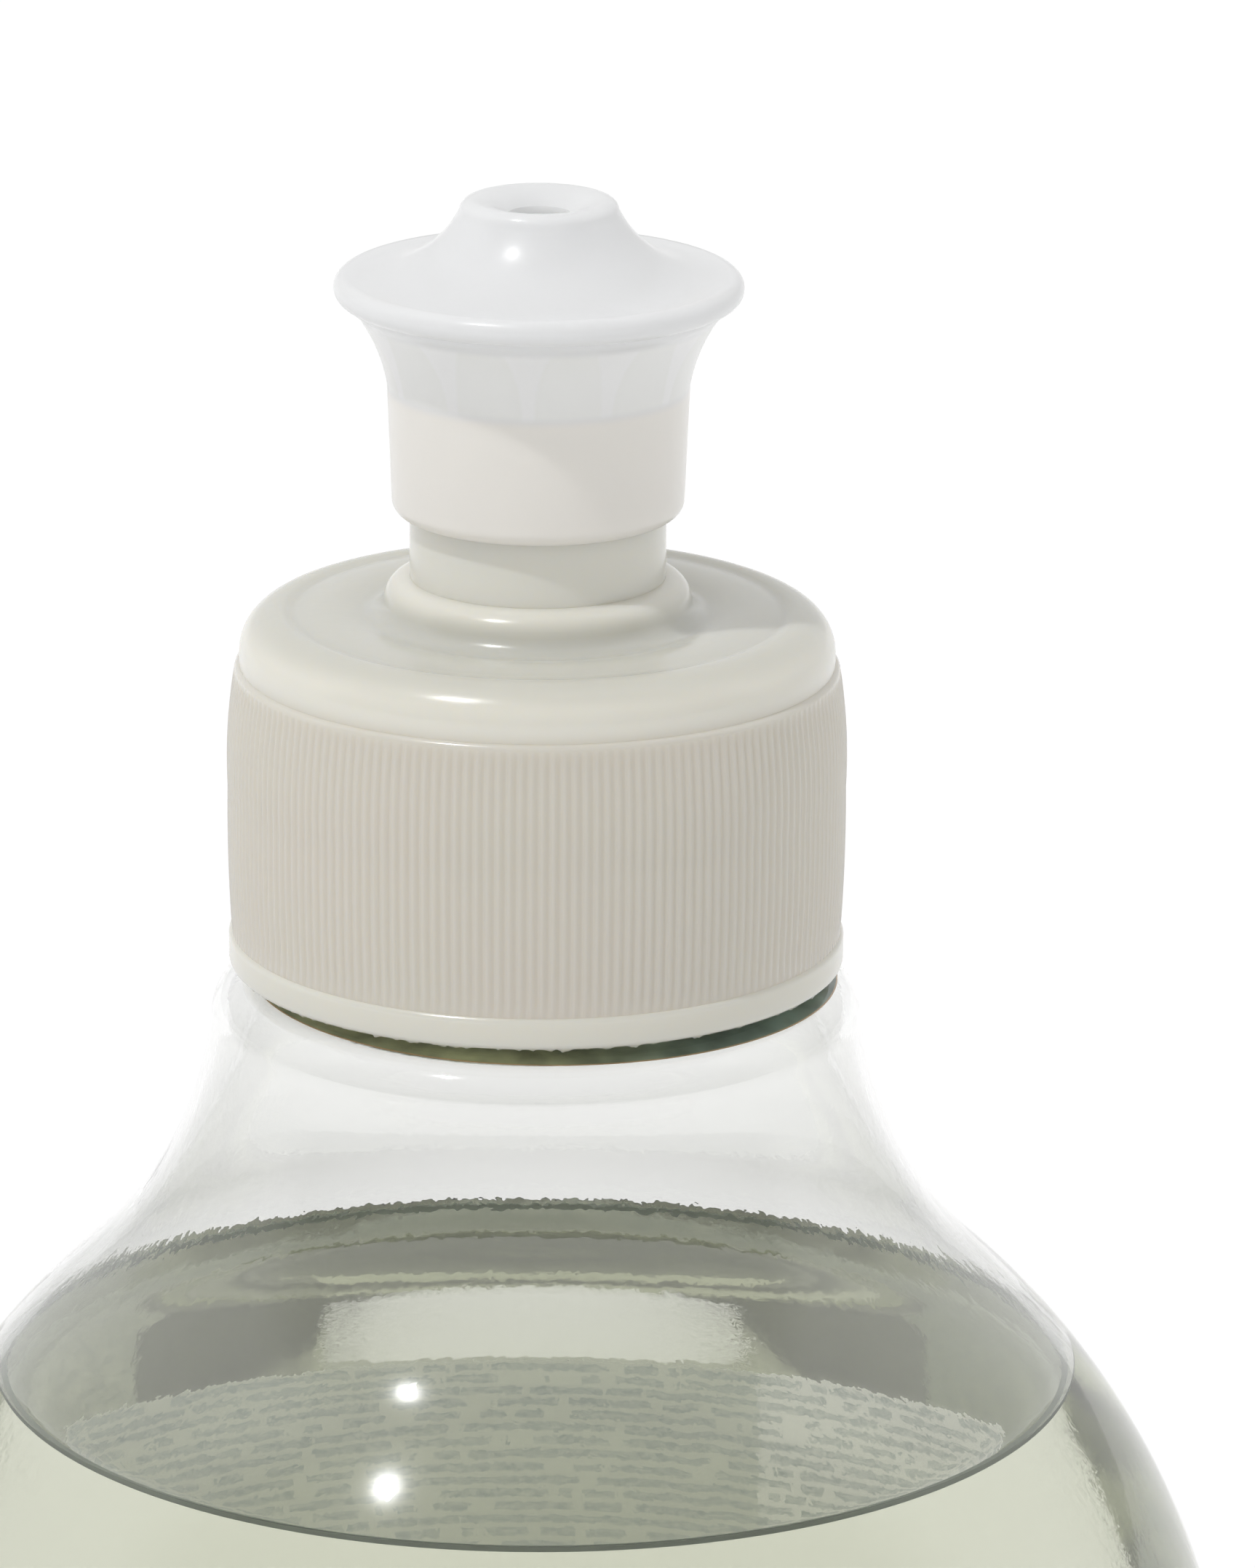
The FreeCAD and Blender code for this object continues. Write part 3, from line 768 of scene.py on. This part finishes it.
@dataclass
class Bottle:
    """The blown shell with its threaded neck, the soap in it and the label on its back."""

    body_radius: float = 38.5
    wall: float = 0.4
    ledge_radius: float = 17.2
    ledge_round: float = 2.28
    ledge_wall: float = 0.65
    hollow_taper: float = 2.0
    hollow: float = 23.6
    hollow_rise: float = 0.25
    crown: float = 41.0
    heel: float = 6.0
    foot_width: float = 2.0
    base_rise: float = 7.0
    base_wall: float = 0.6
    neck_radius: float = 12.6
    bore: float = 10.85
    neck_height: float = 17.25
    lip_round: float = 0.4
    steps: int = 256
    seam_angles: tuple[float, ...] = (-71.0, 109.0)
    seam_height: float = 0.03
    seam_width: float = 0.9
    seam_start: float = 1.1
    seam_facing: float = 0.2
    thread_root: float = 0.15
    thread_crest: float = 1.05
    soap_sink: float = 0.1
    meniscus: float = 1.3
    meniscus_reach: float = 2.6
    meniscus_fall: float = 1.6
    meniscus_shares: tuple[float, ...] = (0.16, 0.34, 0.5, 0.64, 0.76, 0.86, 0.94, 1.0)
    wander: float = 0.025
    wander_turns: float = 34.0
    edge_inset: float = 0.35
    edge_drop: float = 0.55
    edge_size: float = 0.3
    # Size and place of the ring of painted shade inside the ledge.
    ring_radius: float = 15.56
    ring_offset: float = 0.45
    ring_drop: float = 0.42
    ring_gap: float = 0.1
    ring_thickness: float = 0.06
    label_sink: float = 0.05
    label_thickness: float = 0.19
    label_corner: float = 2.0
    label_grid: tuple[int, int] = (96, 44)
    neck_top: float = field(default_factory=lambda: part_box("bottle")[1].z / MM)
    soap_level: float = field(default_factory=lambda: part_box("soap_liquid")[1].z / MM)

    @property
    def ledge(self) -> float:
        """Height of the ledge."""
        return self.neck_top - self.neck_height

    @property
    def hollow_centre(self) -> Vector:
        """Centre of the shoulder's hollow curve, as radius and height."""
        return Vector((self.ledge_radius + self.hollow, self.ledge + self.hollow_rise))

    @property
    def crown_centre(self) -> Vector:
        """Centre of the shoulder's full curve, as radius and height."""
        radius = self.body_radius - self.crown
        reach = self.crown + self.hollow
        drop = math.sqrt(reach ** 2 - (self.hollow_centre.x - radius) ** 2)
        return Vector((radius, self.hollow_centre.y - drop))

    @property
    def soap_rim(self) -> Point:
        """Radius and height of the line where the soap meets the wall."""
        top = self.soap_level + self.meniscus
        sink = self.wall - self.soap_sink
        reach = math.sqrt((self.crown - sink) ** 2 - (top - self.crown_centre.y) ** 2)
        return self.crown_centre.x + reach, top

    def join(self, inset: float) -> Point:
        """Where the shoulder's two curves meet.

        Args:
            inset: distance inside the outer surface.

        Returns:
            The radius and the height.
        """
        toward = (self.hollow_centre - self.crown_centre).normalized()
        spot = self.crown_centre + toward * (self.crown - inset)
        return spot.x, spot.y

    def base_curve(self) -> float:
        """Radius of the pushed-up base's underside."""
        bore = self.body_radius - self.heel - self.foot_width
        return (bore ** 2 + self.base_rise ** 2) / (2 * self.base_rise)

    def shell_outline(self) -> list[Point]:
        """Outline of the whole wall, from the base's underside round the lip to its inside."""
        foot = self.body_radius - self.heel
        curve = self.base_curve()
        inner_curve = curve + self.base_wall
        inner_drop = self.base_wall - self.base_rise + curve
        inner_heel = self.heel - self.wall
        crown_z = self.crown_centre.y
        edge_drop = self.hollow_rise + self.ledge_round
        edge = self.hollow_centre.x - math.sqrt(self.hollow ** 2 - edge_drop ** 2)
        inner_hollow = self.hollow + self.hollow_taper
        under = self.ledge - self.ledge_wall
        top = self.neck_top
        line = Outline(0.0, self.base_rise)
        line.arc(foot - self.foot_width, 0.0, curve, Side.RIGHT, 14)
        line.line(foot, 0.0)
        line.arc(self.body_radius, self.heel, self.heel, Side.LEFT, 10)
        line.line(self.body_radius, crown_z, 12)
        line.arc(*self.join(0.0), self.crown, Side.LEFT, 26)
        line.arc(edge, self.ledge - self.ledge_round, self.hollow, Side.RIGHT, 22)
        line.arc(self.ledge_radius - self.ledge_round, self.ledge, self.ledge_round, Side.LEFT, 14)
        line.line(self.neck_radius, self.ledge, 2)
        line.line(self.neck_radius, top - self.lip_round, 4)
        line.arc(self.neck_radius - self.lip_round, top, self.lip_round, Side.LEFT, 4)
        line.line(self.bore, top)
        line.line(self.bore, under, 4)
        line.line(self.ledge_radius - self.ledge_round, under, 3)
        line.arc(self.ledge_radius - self.ledge_wall, self.ledge - self.ledge_round,
                 self.ledge_round - self.ledge_wall, Side.RIGHT, 10)
        line.arc(*self.join(self.wall), inner_hollow, Side.LEFT, 22)
        line.arc(self.body_radius - self.wall, crown_z, self.crown - self.wall, Side.RIGHT, 26)
        line.line(self.body_radius - self.wall, self.base_wall + inner_heel, 12)
        line.arc(foot, self.base_wall, inner_heel, Side.RIGHT, 10)
        line.line(math.sqrt(inner_curve ** 2 - inner_drop ** 2), self.base_wall)
        line.arc(0.0, self.base_rise + self.base_wall, inner_curve, Side.LEFT, 14)
        return line.points

    def raise_seam(self, bm: bmesh.types.BMesh) -> None:
        """Raise the mould's faint parting line on the outside of the shell.

        Args:
            bm: the shell's mesh.
        """
        width = math.radians(self.seam_width)
        for vert in bm.verts:
            radius = math.hypot(vert.co.x, vert.co.y)
            outside = vert.normal.x * vert.co.x + vert.normal.y * vert.co.y > self.seam_facing * radius
            if radius < self.neck_radius * MM * self.seam_start or not outside:
                continue
            angle = math.atan2(vert.co.y, vert.co.x)
            for seam in self.seam_angles:
                away = (angle - math.radians(seam) + math.pi) % math.tau - math.pi
                rise = self.seam_height * MM * math.exp(-(away / width) ** 2)
                vert.co.x += rise * math.cos(angle)
                vert.co.y += rise * math.sin(angle)

    def build_shell(self, finish: bpy.types.Material) -> None:
        """Build the shell with its thread.

        Args:
            finish: the shell's material.
        """
        bm = turned(self.shell_outline(), self.steps, False)
        bm.normal_update()
        self.raise_seam(bm)
        start = self.neck_top - THREAD_DROP - THREAD_PITCH * THREAD_TURNS
        root, crest = self.neck_radius - self.thread_root, self.neck_radius + self.thread_crest
        thread = wound_thread(root, crest, start)
        add_piece(joined(bm, thread), "bottle_shell", finish, "bottle", "bottle")

    def soap_outline(self) -> list[Point]:
        """Outline of the soap, with the edge of its surface drawn up the wall."""
        sink = self.wall - self.soap_sink
        foot = self.body_radius - self.heel
        curve = self.base_curve() + self.base_wall - self.soap_sink
        floor = self.base_wall - self.soap_sink
        drop = floor - self.base_rise + self.base_curve()
        heel = self.heel - sink
        rim, top = self.soap_rim
        line = Outline(0.0, self.base_rise + floor)
        line.arc(math.sqrt(curve ** 2 - drop ** 2), floor, curve, Side.RIGHT, 14)
        line.line(foot, floor)
        line.arc(self.body_radius - sink, floor + heel, heel, Side.LEFT, 10)
        line.line(self.body_radius - sink, self.crown_centre.y, 12)
        line.arc(rim, top, self.crown - sink, Side.LEFT, 20)
        reach = rim - self.soap_sink
        for share in self.meniscus_shares:
            height = self.meniscus * (1.0 - math.sin(share * math.pi / 2)) ** self.meniscus_fall
            line.line(reach - self.meniscus_reach * self.meniscus * share, self.soap_level + height)
        line.line(0.0, self.soap_level, 3)
        return line.points

    def build_soap(self, finish: bpy.types.Material) -> None:
        """Build the soap.

        Args:
            finish: the soap's material.
        """
        bm = turned(self.soap_outline(), self.steps, False)
        for vert in bm.verts:
            if vert.co.z > self.soap_level * MM + 1e-6:
                angle = math.atan2(vert.co.y, vert.co.x)
                across, along = math.cos(angle) * self.wander_turns, math.sin(angle) * self.wander_turns
                vert.co.z += noise.noise(Vector((across, along, 0.0))) * self.wander * MM
        add_piece(bm, "soap_fill", finish, "bottle", "soap_liquid", 80.0)

    def build_soap_edge(self, finish: bpy.types.Material) -> None:
        """Build the narrow line of painted shade along which the soap meets the wall.

        Args:
            finish: the line's material.
        """
        rim, top = self.soap_rim
        out, low = rim - self.edge_inset, top - self.edge_drop
        back, high = out - self.edge_size, low + self.edge_size
        line = [(back, low), (out, low), (out, high), (back, high)]
        add_piece(turned(line, self.steps, True), "soap_edge_shade", finish, "bottle")

    def build_label(self, finish: bpy.types.Material) -> None:
        """Build the label as a bent sheet with round corners, bonded to the wall.

        Args:
            finish: the label's material.
        """
        low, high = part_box("back_label")
        bottom, top = low.z / MM, high.z / MM
        inside = self.body_radius - self.label_sink
        half = math.asin(high.x / MM / (self.body_radius + self.label_thickness)) * inside
        columns, rows = self.label_grid
        bm = bmesh.new()
        bmesh.ops.create_grid(bm, x_segments=columns, y_segments=rows, size=0.5)
        width, height = 2 * half, top - bottom
        uv = bm.loops.layers.uv.new("label_mm")
        bmesh.ops.scale(bm, verts=bm.verts, vec=(width, height, 1.0))
        for vert in bm.verts:
            round_sheet_corner(vert.co, width / 2, height / 2, self.label_corner)
        for face in bm.faces:
            for loop in face.loops:
                loop[uv].uv = (loop.vert.co.x, loop.vert.co.y)
        for vert in bm.verts:
            angle = math.pi / 2 - vert.co.x / inside
            z = (bottom + top) / 2 + vert.co.y
            vert.co = Vector((inside * math.cos(angle), inside * math.sin(angle), z)) * MM
        bmesh.ops.recalc_face_normals(bm, faces=bm.faces)
        if bm.faces[0].normal.dot(bm.faces[0].calc_center_median()) < 0:
            bmesh.ops.reverse_faces(bm, faces=bm.faces)
        bmesh.ops.solidify(bm, geom=bm.faces, thickness=-self.label_thickness * MM)
        bmesh.ops.recalc_face_normals(bm, faces=bm.faces)
        # Marks the label's soap side, on which its painted glow shows.
        soap_side = bm.verts.layers.float.new("soap_side")
        for vert in bm.verts:
            vert[soap_side] = float(vert.co.xy.length < (inside + self.label_thickness / 2) * MM)
        add_piece(bm, "label_sheet", finish, "bottle", "back_label", 50.0)

    def build_ring(self, finish: bpy.types.Material) -> None:
        """Build a narrow dark ring of painted shade inside the ledge, a little off the axis.

        Args:
            finish: the ring's material.
        """
        high = self.ledge - self.ring_drop
        low = high - self.ring_thickness
        inner = self.neck_radius + self.ring_gap
        line = [(inner, low), (self.ring_radius, low), (self.ring_radius, high), (inner, high)]
        bm = turned(line, self.steps, True)
        bmesh.ops.translate(bm, verts=bm.verts, vec=(self.ring_offset * MM, 0.0, 0.0))
        add_piece(bm, "painted_shade_sheet", finish, "bottle")

    def build(self) -> None:
        """Build every piece of the bottle."""
        self.build_shell(ClearShell().make())
        self.build_ring(RingShade(self.ring_offset).make())
        self.build_soap(SoapLiquid().make())
        self.build_soap_edge(SoapEdge().make())
        self.build_label(LabelFilm().make())


def round_sheet_corner(spot: Vector, half_width: float, half_height: float, corner: float) -> None:
    """Draw a sheet's point in, so that the sheet's corners come out round.

    Args:
        spot: the point, which is moved.
        half_width: half the sheet's width.
        half_height: half its height.
        corner: radius of its corners.
    """
    over = Vector((abs(spot.x) - half_width + corner, abs(spot.y) - half_height + corner))
    if over.x <= 0 or over.y <= 0 or over.length == 0:
        return
    reach = max(over.x, over.y)
    scale = reach / over.length
    spot.x = math.copysign(half_width - corner + over.x * scale, spot.x)
    spot.y = math.copysign(half_height - corner + over.y * scale, spot.y)


@dataclass
class ScrewCap:
    """The screw cap: ribbed skirt, rippled top, chimney with its catch bead, webs and pin."""

    bore: float = 14.1
    bead_radius: float = 16.38
    bead_height: float = 1.5
    bead_round: float = 0.3
    waist: float = 16.22
    belly: Point = (16.42, 9.7)
    belly_curve: float = 95.0
    skirt_height: float = 16.1
    skirt_radius: float = 16.06
    skirt_curve: float = 30.0
    rib_count: int = 180
    rib_steps: int = 4
    rib_depth: float = 0.11
    fray_waves: Point = (22.0, 61.0)
    fray_depth: float = 0.28
    dome: float = 15.78
    dome_round: float = 2.2
    deck_height: float = 19.25
    deck_wall: float = 1.6
    ripple_radius: float = 13.0
    ripple_bore: float = 9.4
    ripple_depth: float = 0.14
    ripple_curve: float = 7.5
    collar_radius: float = 8.15
    collar_height: float = 1.9
    collar_foot: float = 1.1
    collar_round: float = 1.3
    chimney: float = 6.77
    chimney_bore: float = 5.6
    chimney_height: float = 12.4
    catch: float = 7.0
    catch_height: float = 0.9
    thread_root: float = 0.15
    thread_crest: float = 13.05
    thread_lag: float = 1.6
    pin_radius: float = 1.6
    pin_round: float = 0.3
    web_count: int = 3
    web_gap: float = 0.4
    web_sink: float = 0.3
    web_width: float = 1.3
    web_height: float = 2.0
    base: float = field(default_factory=lambda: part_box("screw_cap")[0].z / MM)
    pin_top: float = field(default_factory=lambda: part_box("screw_cap")[1].z / MM)

    @property
    def deck(self) -> float:
        """Height of the cap's top."""
        return self.base + self.deck_height

    def wall_outline(self) -> list[Point]:
        """Outline of the cap's wall, from inside the skirt up to the chimney and back."""
        base, deck = self.base, self.deck
        mouth = deck + self.chimney_height
        line = Outline(self.bore, base)
        line.line(self.bead_radius - self.bead_round, base, 3)
        line.arc(self.bead_radius, base + self.bead_round, self.bead_round, Side.LEFT, 3)
        line.line(self.bead_radius, base + self.bead_height - 0.15, 2)
        line.arc(self.waist, base + self.bead_height + 0.2, self.bead_round, Side.LEFT, 3)
        line.arc(self.belly[0], base + self.belly[1], self.belly_curve, Side.LEFT, 10)
        line.arc(self.skirt_radius, base + self.skirt_height - 0.1, self.skirt_curve, Side.LEFT, 10)
        line.arc(self.dome, base + self.skirt_height + 0.3, 0.4, Side.LEFT, 4)
        line.line(self.dome, deck - self.dome_round, 2)
        line.arc(self.dome - self.dome_round, deck, self.dome_round, Side.LEFT, 10)
        line.line(self.ripple_radius, deck - self.ripple_depth, 2)
        line.arc(self.ripple_bore, deck - self.ripple_depth, self.ripple_curve, Side.LEFT, 10)
        line.arc(self.collar_radius, deck + self.collar_height / 3, self.collar_foot, Side.RIGHT, 6)
        line.arc(self.chimney, deck + self.collar_height, self.collar_round, Side.LEFT, 6)
        line.line(self.chimney, mouth - 0.4 - self.catch_height, 8)
        line.line(self.catch, mouth - 0.2 - self.catch_height, 2)
        line.line(self.catch, mouth - 0.2, 2)
        line.line(self.chimney, mouth)
        line.line(self.chimney_bore, mouth, 2)
        line.line(self.chimney_bore, deck - self.deck_wall, 8)
        line.line(self.bore, deck - self.deck_wall, 6)
        line.line(self.bore, base, 6)
        return line.points[:-1]

    def cut_ribs(self, bm: bmesh.types.BMesh) -> None:
        """Press the grooves between the ribs into the skirt, and fray the skirt's lower edge.

        Args:
            bm: the cap's mesh.
        """
        low = self.base + self.bead_height + 0.15
        high = self.base + self.skirt_height
        for vert in bm.verts:
            radius = math.hypot(vert.co.x, vert.co.y) / MM
            angle = math.atan2(vert.co.y, vert.co.x)
            z = vert.co.z / MM
            if radius > self.skirt_radius - 0.1 and low < z < high + 0.05:
                phase = (angle * self.rib_count / math.tau) % 1.0
                wave = 0.5 + 0.5 * math.cos(math.tau * phase)
                fade = min((z - low) / 0.5, (high + 0.1 - z) / 0.6, 1.0)
                wanted = radius - self.rib_depth * wave * max(fade, 0.0)
                vert.co.x *= wanted / radius
                vert.co.y *= wanted / radius
            if z < self.base + 0.02 and radius > self.bore + 1.2:
                coarse = noise.noise(Vector((angle * self.fray_waves[0], 3.1, 0.0)))
                fine = noise.noise(Vector((angle * self.fray_waves[1], 8.7, 0.0)))
                vert.co.z -= max(coarse + 0.6 * fine, 0.0) * self.fray_depth * MM

    def pin_mesh(self) -> bmesh.types.BMesh:
        """Mesh of the stopper pin and the webs that carry it."""
        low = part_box("pull_nozzle")[0].z / MM + PullNozzle.tube_base - self.web_gap - self.web_height
        line = Outline(0.0, low)
        line.line(self.pin_radius, low)
        line.line(self.pin_radius, self.pin_top - self.pin_round, 4)
        line.arc(self.pin_radius - self.pin_round, self.pin_top, self.pin_round, Side.LEFT, 3)
        line.line(0.0, self.pin_top)
        meshes = [turned(line.points, 32, False)]
        for turn in range(self.web_count):
            web = bmesh.new()
            bmesh.ops.create_cube(web, size=1.0)
            reach = self.chimney_bore - self.pin_radius + 2 * self.web_sink
            bmesh.ops.scale(web, verts=web.verts, vec=(reach, self.web_width, self.web_height))
            offset = (self.pin_radius - self.web_sink + reach / 2, 0.0, low + self.web_height / 2)
            bmesh.ops.translate(web, verts=web.verts, vec=offset)
            bmesh.ops.scale(web, verts=web.verts, vec=(MM, MM, MM))
            bmesh.ops.rotate(web, verts=web.verts, cent=(0, 0, 0),
                             matrix=Matrix.Rotation(math.tau * turn / self.web_count, 3, "Z"))
            meshes.append(web)
        return joined(*meshes)

    def build(self) -> None:
        """Build the cap."""
        bm = turned(self.wall_outline(), self.rib_count * self.rib_steps, True)
        self.cut_ribs(bm)
        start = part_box("bottle")[1].z / MM - THREAD_DROP - THREAD_PITCH * THREAD_TURNS - self.thread_lag
        thread = wound_thread(self.bore + self.thread_root, self.thread_crest, start)
        add_piece(joined(bm, thread, self.pin_mesh()), "cap_moulding", CapPlastic().make(), "cap",
                  "screw_cap", 42.0)


@dataclass
class PullNozzle:
    """The push-pull nozzle: barrel, flange, nose with its dished mouth, inner tube and fins."""

    barrel: float = 7.72
    barrel_round: float = 0.8
    barrel_top: float = 7.97
    barrel_height: float = 7.0
    grip_bore: float = 6.87
    barrel_bore: float = 7.15
    flare_curve: float = 9.5
    flare_top: Point = (9.58, 10.89)
    rim: Point = (10.03, 11.46)
    rim_top: Point = (10.28, 12.88)
    rim_curve: float = 1.29
    rim_round: float = 0.73
    nose_curve: float = 6.22
    mouth: Point = (4.2, 16.29)
    nozzle_height: float = 16.9
    lip: float = 0.66
    dish_depth: float = 0.8
    dish_curve: float = 3.2
    orifice: float = 1.7
    orifice_length: float = 1.1
    tube: float = 5.5
    tube_bore: float = 4.5
    tube_base: float = 1.4
    tube_length: float = 11.8
    pocket_height: float = 10.8
    pocket_radius: float = 8.2
    pocket_curve: float = 6.2
    grip_low: float = 1.0
    grip_high: float = 1.25
    fin_width: float = 0.7
    fin_height: float = 3.2
    fin_sink: float = 0.1
    steps: int = 192
    base: float = field(default_factory=lambda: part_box("pull_nozzle")[0].z / MM)

    def wall_outline(self) -> list[Point]:
        """Outline of the nozzle's wall."""
        base = self.base
        line = Outline(self.grip_bore, base)
        line.line(self.barrel - self.barrel_round, base)
        line.arc(self.barrel, base + self.barrel_round, self.barrel_round, Side.LEFT, 8)
        line.line(self.barrel_top, base + self.barrel_height, 6)
        line.arc(self.flare_top[0], base + self.flare_top[1], self.flare_curve, Side.RIGHT, 14)
        line.arc(self.rim[0], base + self.rim[1], self.rim_curve, Side.LEFT, 6)
        line.arc(self.rim_top[0], base + self.rim_top[1], self.rim_round, Side.LEFT, 14)
        line.arc(self.mouth[0], base + self.mouth[1], self.nose_curve, Side.RIGHT, 28)
        line.arc(self.mouth[0] - self.lip, base + self.nozzle_height, self.lip, Side.LEFT, 6)
        dish = base + self.nozzle_height - self.dish_depth
        line.arc(self.orifice, dish, self.dish_curve, Side.LEFT, 8)
        line.line(self.orifice, dish - self.orifice_length, 2)
        line.line(self.tube_bore, base + self.tube_base + self.tube_length, 4)
        line.line(self.tube_bore, base + self.tube_base, 8)
        line.line(self.tube, base + self.tube_base)
        line.line(self.tube, base + self.pocket_height, 8)
        line.line(self.pocket_radius, base + self.pocket_height, 3)
        line.arc(self.barrel_bore, base + self.barrel_height, self.pocket_curve, Side.LEFT, 8)
        line.line(self.barrel_bore, base + self.grip_high, 5)
        line.line(self.grip_bore, base + self.grip_low)
        return line.points

    def fin_mesh(self, turn: float) -> bmesh.types.BMesh:
        """Mesh of one fin.

        Args:
            turn: the fin's angle about the axis.

        Returns:
            The fin's mesh.
        """
        sink, high = self.fin_sink, self.base + self.pocket_height
        corners = [(self.tube - sink, high - self.fin_height),
                   (self.barrel_bore + sink, high - self.fin_height),
                   (self.pocket_radius + sink, high + sink), (self.tube - sink, high + sink)]
        bm = bmesh.new()
        half = self.fin_width / 2
        face = bm.faces.new([bm.verts.new((r * MM, -half * MM, z * MM)) for r, z in corners])
        grown = bmesh.ops.extrude_face_region(bm, geom=[face])
        moved = [item for item in grown["geom"] if isinstance(item, bmesh.types.BMVert)]
        bmesh.ops.translate(bm, verts=moved, vec=(0.0, self.fin_width * MM, 0.0))
        bmesh.ops.recalc_face_normals(bm, faces=bm.faces)
        bmesh.ops.rotate(bm, verts=bm.verts, cent=(0, 0, 0), matrix=Matrix.Rotation(turn, 3, "Z"))
        return bm

    def build(self) -> None:
        """Build the nozzle."""
        bm = turned(self.wall_outline(), self.steps, True)
        start = math.radians(FIN_TURN) + math.pi / 2
        fins = [self.fin_mesh(start + math.tau * index / FIN_COUNT) for index in range(FIN_COUNT)]
        add_piece(joined(bm, *fins), "nozzle_moulding", NozzlePlastic().make(), "nozzle",
                  "pull_nozzle", 42.0)


@dataclass
class Studio:
    """The plain pale floor, the soft light, the small hard lamp and the camera."""

    focal_px: float = 14000.0
    frame_px: tuple[int, int] = (1725, 2156)
    target_px: tuple[float, float] = (732.5, 1315.0)
    target_height: float = 140.0
    distance: float = 543.9
    pitch: float = 17.63
    roll: float = 0.40
    sun_elevation: float = 60.6
    sun_azimuth: float = 50.0
    sun_strength: float = 1.2
    sun_angle: float = 2.6
    sky_strength: float = 0.86
    room_strength: float = 0.12
    inner_strength: float = 1.15
    back_from: float = -0.25
    back_to: float = 0.10
    floor_tone: float = 0.88
    floor_glow: float = 0.12
    sensor_mm: float = 36.0

    def build_floor(self) -> None:
        """Lay a pale floor that shows as white and keeps shadows."""
        nodes = Nodes("pale_floor")
        glow = nodes.product(nodes.rays()[0], self.floor_glow)
        tone = (self.floor_tone, self.floor_tone, self.floor_tone, 1.0)
        nodes.shader(Base_Color=tone, Roughness=0.9, Specular_IOR_Level=0.0,
                     Emission_Color=(1.0, 1.0, 1.0, 1.0), Emission_Strength=glow)
        bm = bmesh.new()
        bmesh.ops.create_grid(bm, x_segments=1, y_segments=1, size=20.0)
        mesh = bpy.data.meshes.new("floor")
        bm.to_mesh(mesh)
        bm.free()
        mesh.materials.append(nodes.material)
        floor = bpy.data.objects.new("floor", mesh)
        bpy.context.scene.collection.objects.link(floor)

    def light_sky(self) -> None:
        """Light the object evenly, and show a white backdrop behind it in sight, glass and gloss."""
        world = bpy.data.worlds.new("studio")
        bpy.context.scene.world = world
        world.use_nodes = True
        nodes = Nodes.of_tree(world.node_tree)
        seen, glossy, through = nodes.rays()
        depth = nodes.axes(nodes.add("TexCoord").outputs["Generated"])[1]
        behind = nodes.ramp(depth, self.back_from, self.back_to)
        front = nodes.maths("SUBTRACT", 1.0, behind)
        white = nodes.product(nodes.product(seen, behind), 1.0 - self.sky_strength)
        inside = nodes.product(nodes.product(through, front), self.inner_strength - self.sky_strength)
        mirrored = nodes.product(glossy, nodes.maths("SUBTRACT", 1.0, through))
        dim = nodes.product(nodes.product(mirrored, front), self.sky_strength - self.room_strength)
        lit = nodes.maths("ADD", nodes.maths("ADD", white, inside), self.sky_strength)
        sky = nodes.add("Background")
        nodes.link(nodes.maths("SUBTRACT", lit, dim), sky.inputs["Strength"])
        nodes.link(sky.outputs[0], nodes.add("OutputWorld").inputs["Surface"])

    def light_sun(self) -> None:
        """Add the small hard lamp that makes the sparkles."""
        lamp = bpy.data.lights.new("sun", "SUN")
        lamp.energy = self.sun_strength
        lamp.angle = math.radians(self.sun_angle)
        sun = bpy.data.objects.new("sun", lamp)
        bpy.context.scene.collection.objects.link(sun)
        up, side = math.radians(self.sun_elevation), math.radians(self.sun_azimuth)
        toward = Vector((-math.sin(side) * math.cos(up), -math.cos(side) * math.cos(up), math.sin(up)))
        sun.rotation_euler = toward.to_track_quat("Z", "Y").to_euler()

    def place_camera(self) -> None:
        """Put the camera at the photograph's viewing angle and framing."""
        lens = bpy.data.cameras.new("camera")
        lens.sensor_width = self.sensor_mm
        lens.lens = self.focal_px / max(self.frame_px) * self.sensor_mm
        camera = bpy.data.objects.new("camera", lens)
        bpy.context.scene.collection.objects.link(camera)
        down = math.radians(self.pitch)
        target = Vector((0.0, 0.0, self.target_height * MM))
        spot = target + Vector((0.0, -math.cos(down), math.sin(down))) * self.distance * MM
        across = math.atan((self.frame_px[0] / 2 - self.target_px[0]) / self.focal_px)
        below = math.atan((self.target_px[1] - self.frame_px[1] / 2) / self.focal_px)
        turn = (Matrix.Rotation(-across, 4, "Z") @ Matrix.Rotation(math.pi / 2 - down + below, 4, "X")
                @ Matrix.Rotation(math.radians(self.roll), 4, "Z"))
        camera.matrix_world = Matrix.Translation(spot) @ turn
        bpy.context.scene.camera = camera

    def build(self) -> None:
        """Build the stage and set how colours are shown."""
        self.place_camera()
        self.build_floor()
        self.light_sky()
        self.light_sun()
        scene = bpy.context.scene
        scene.view_settings.view_transform = "Standard"
        scene.cycles.max_bounces = 40
        scene.cycles.transmission_bounces = 40
        scene.cycles.glossy_bounces = 32
        scene.cycles.diffuse_bounces = 12


def dress_seal() -> None:
    """Give the sealing ring its foam."""
    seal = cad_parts["sealing_ring"]
    finish = SealFoam().make()
    if not seal.data.materials:
        seal.data.materials.append(finish)
    for slot in seal.material_slots:
        slot.material = finish


def main() -> None:
    """Build the bottle, its closure and the studio, in order."""
    logging.basicConfig(level=logging.INFO, format="%(name)s: %(message)s")
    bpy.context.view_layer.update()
    Studio().build()
    Bottle().build()
    ScrewCap().build()
    PullNozzle().build()
    dress_seal()


if __name__ == "__main__":
    main()
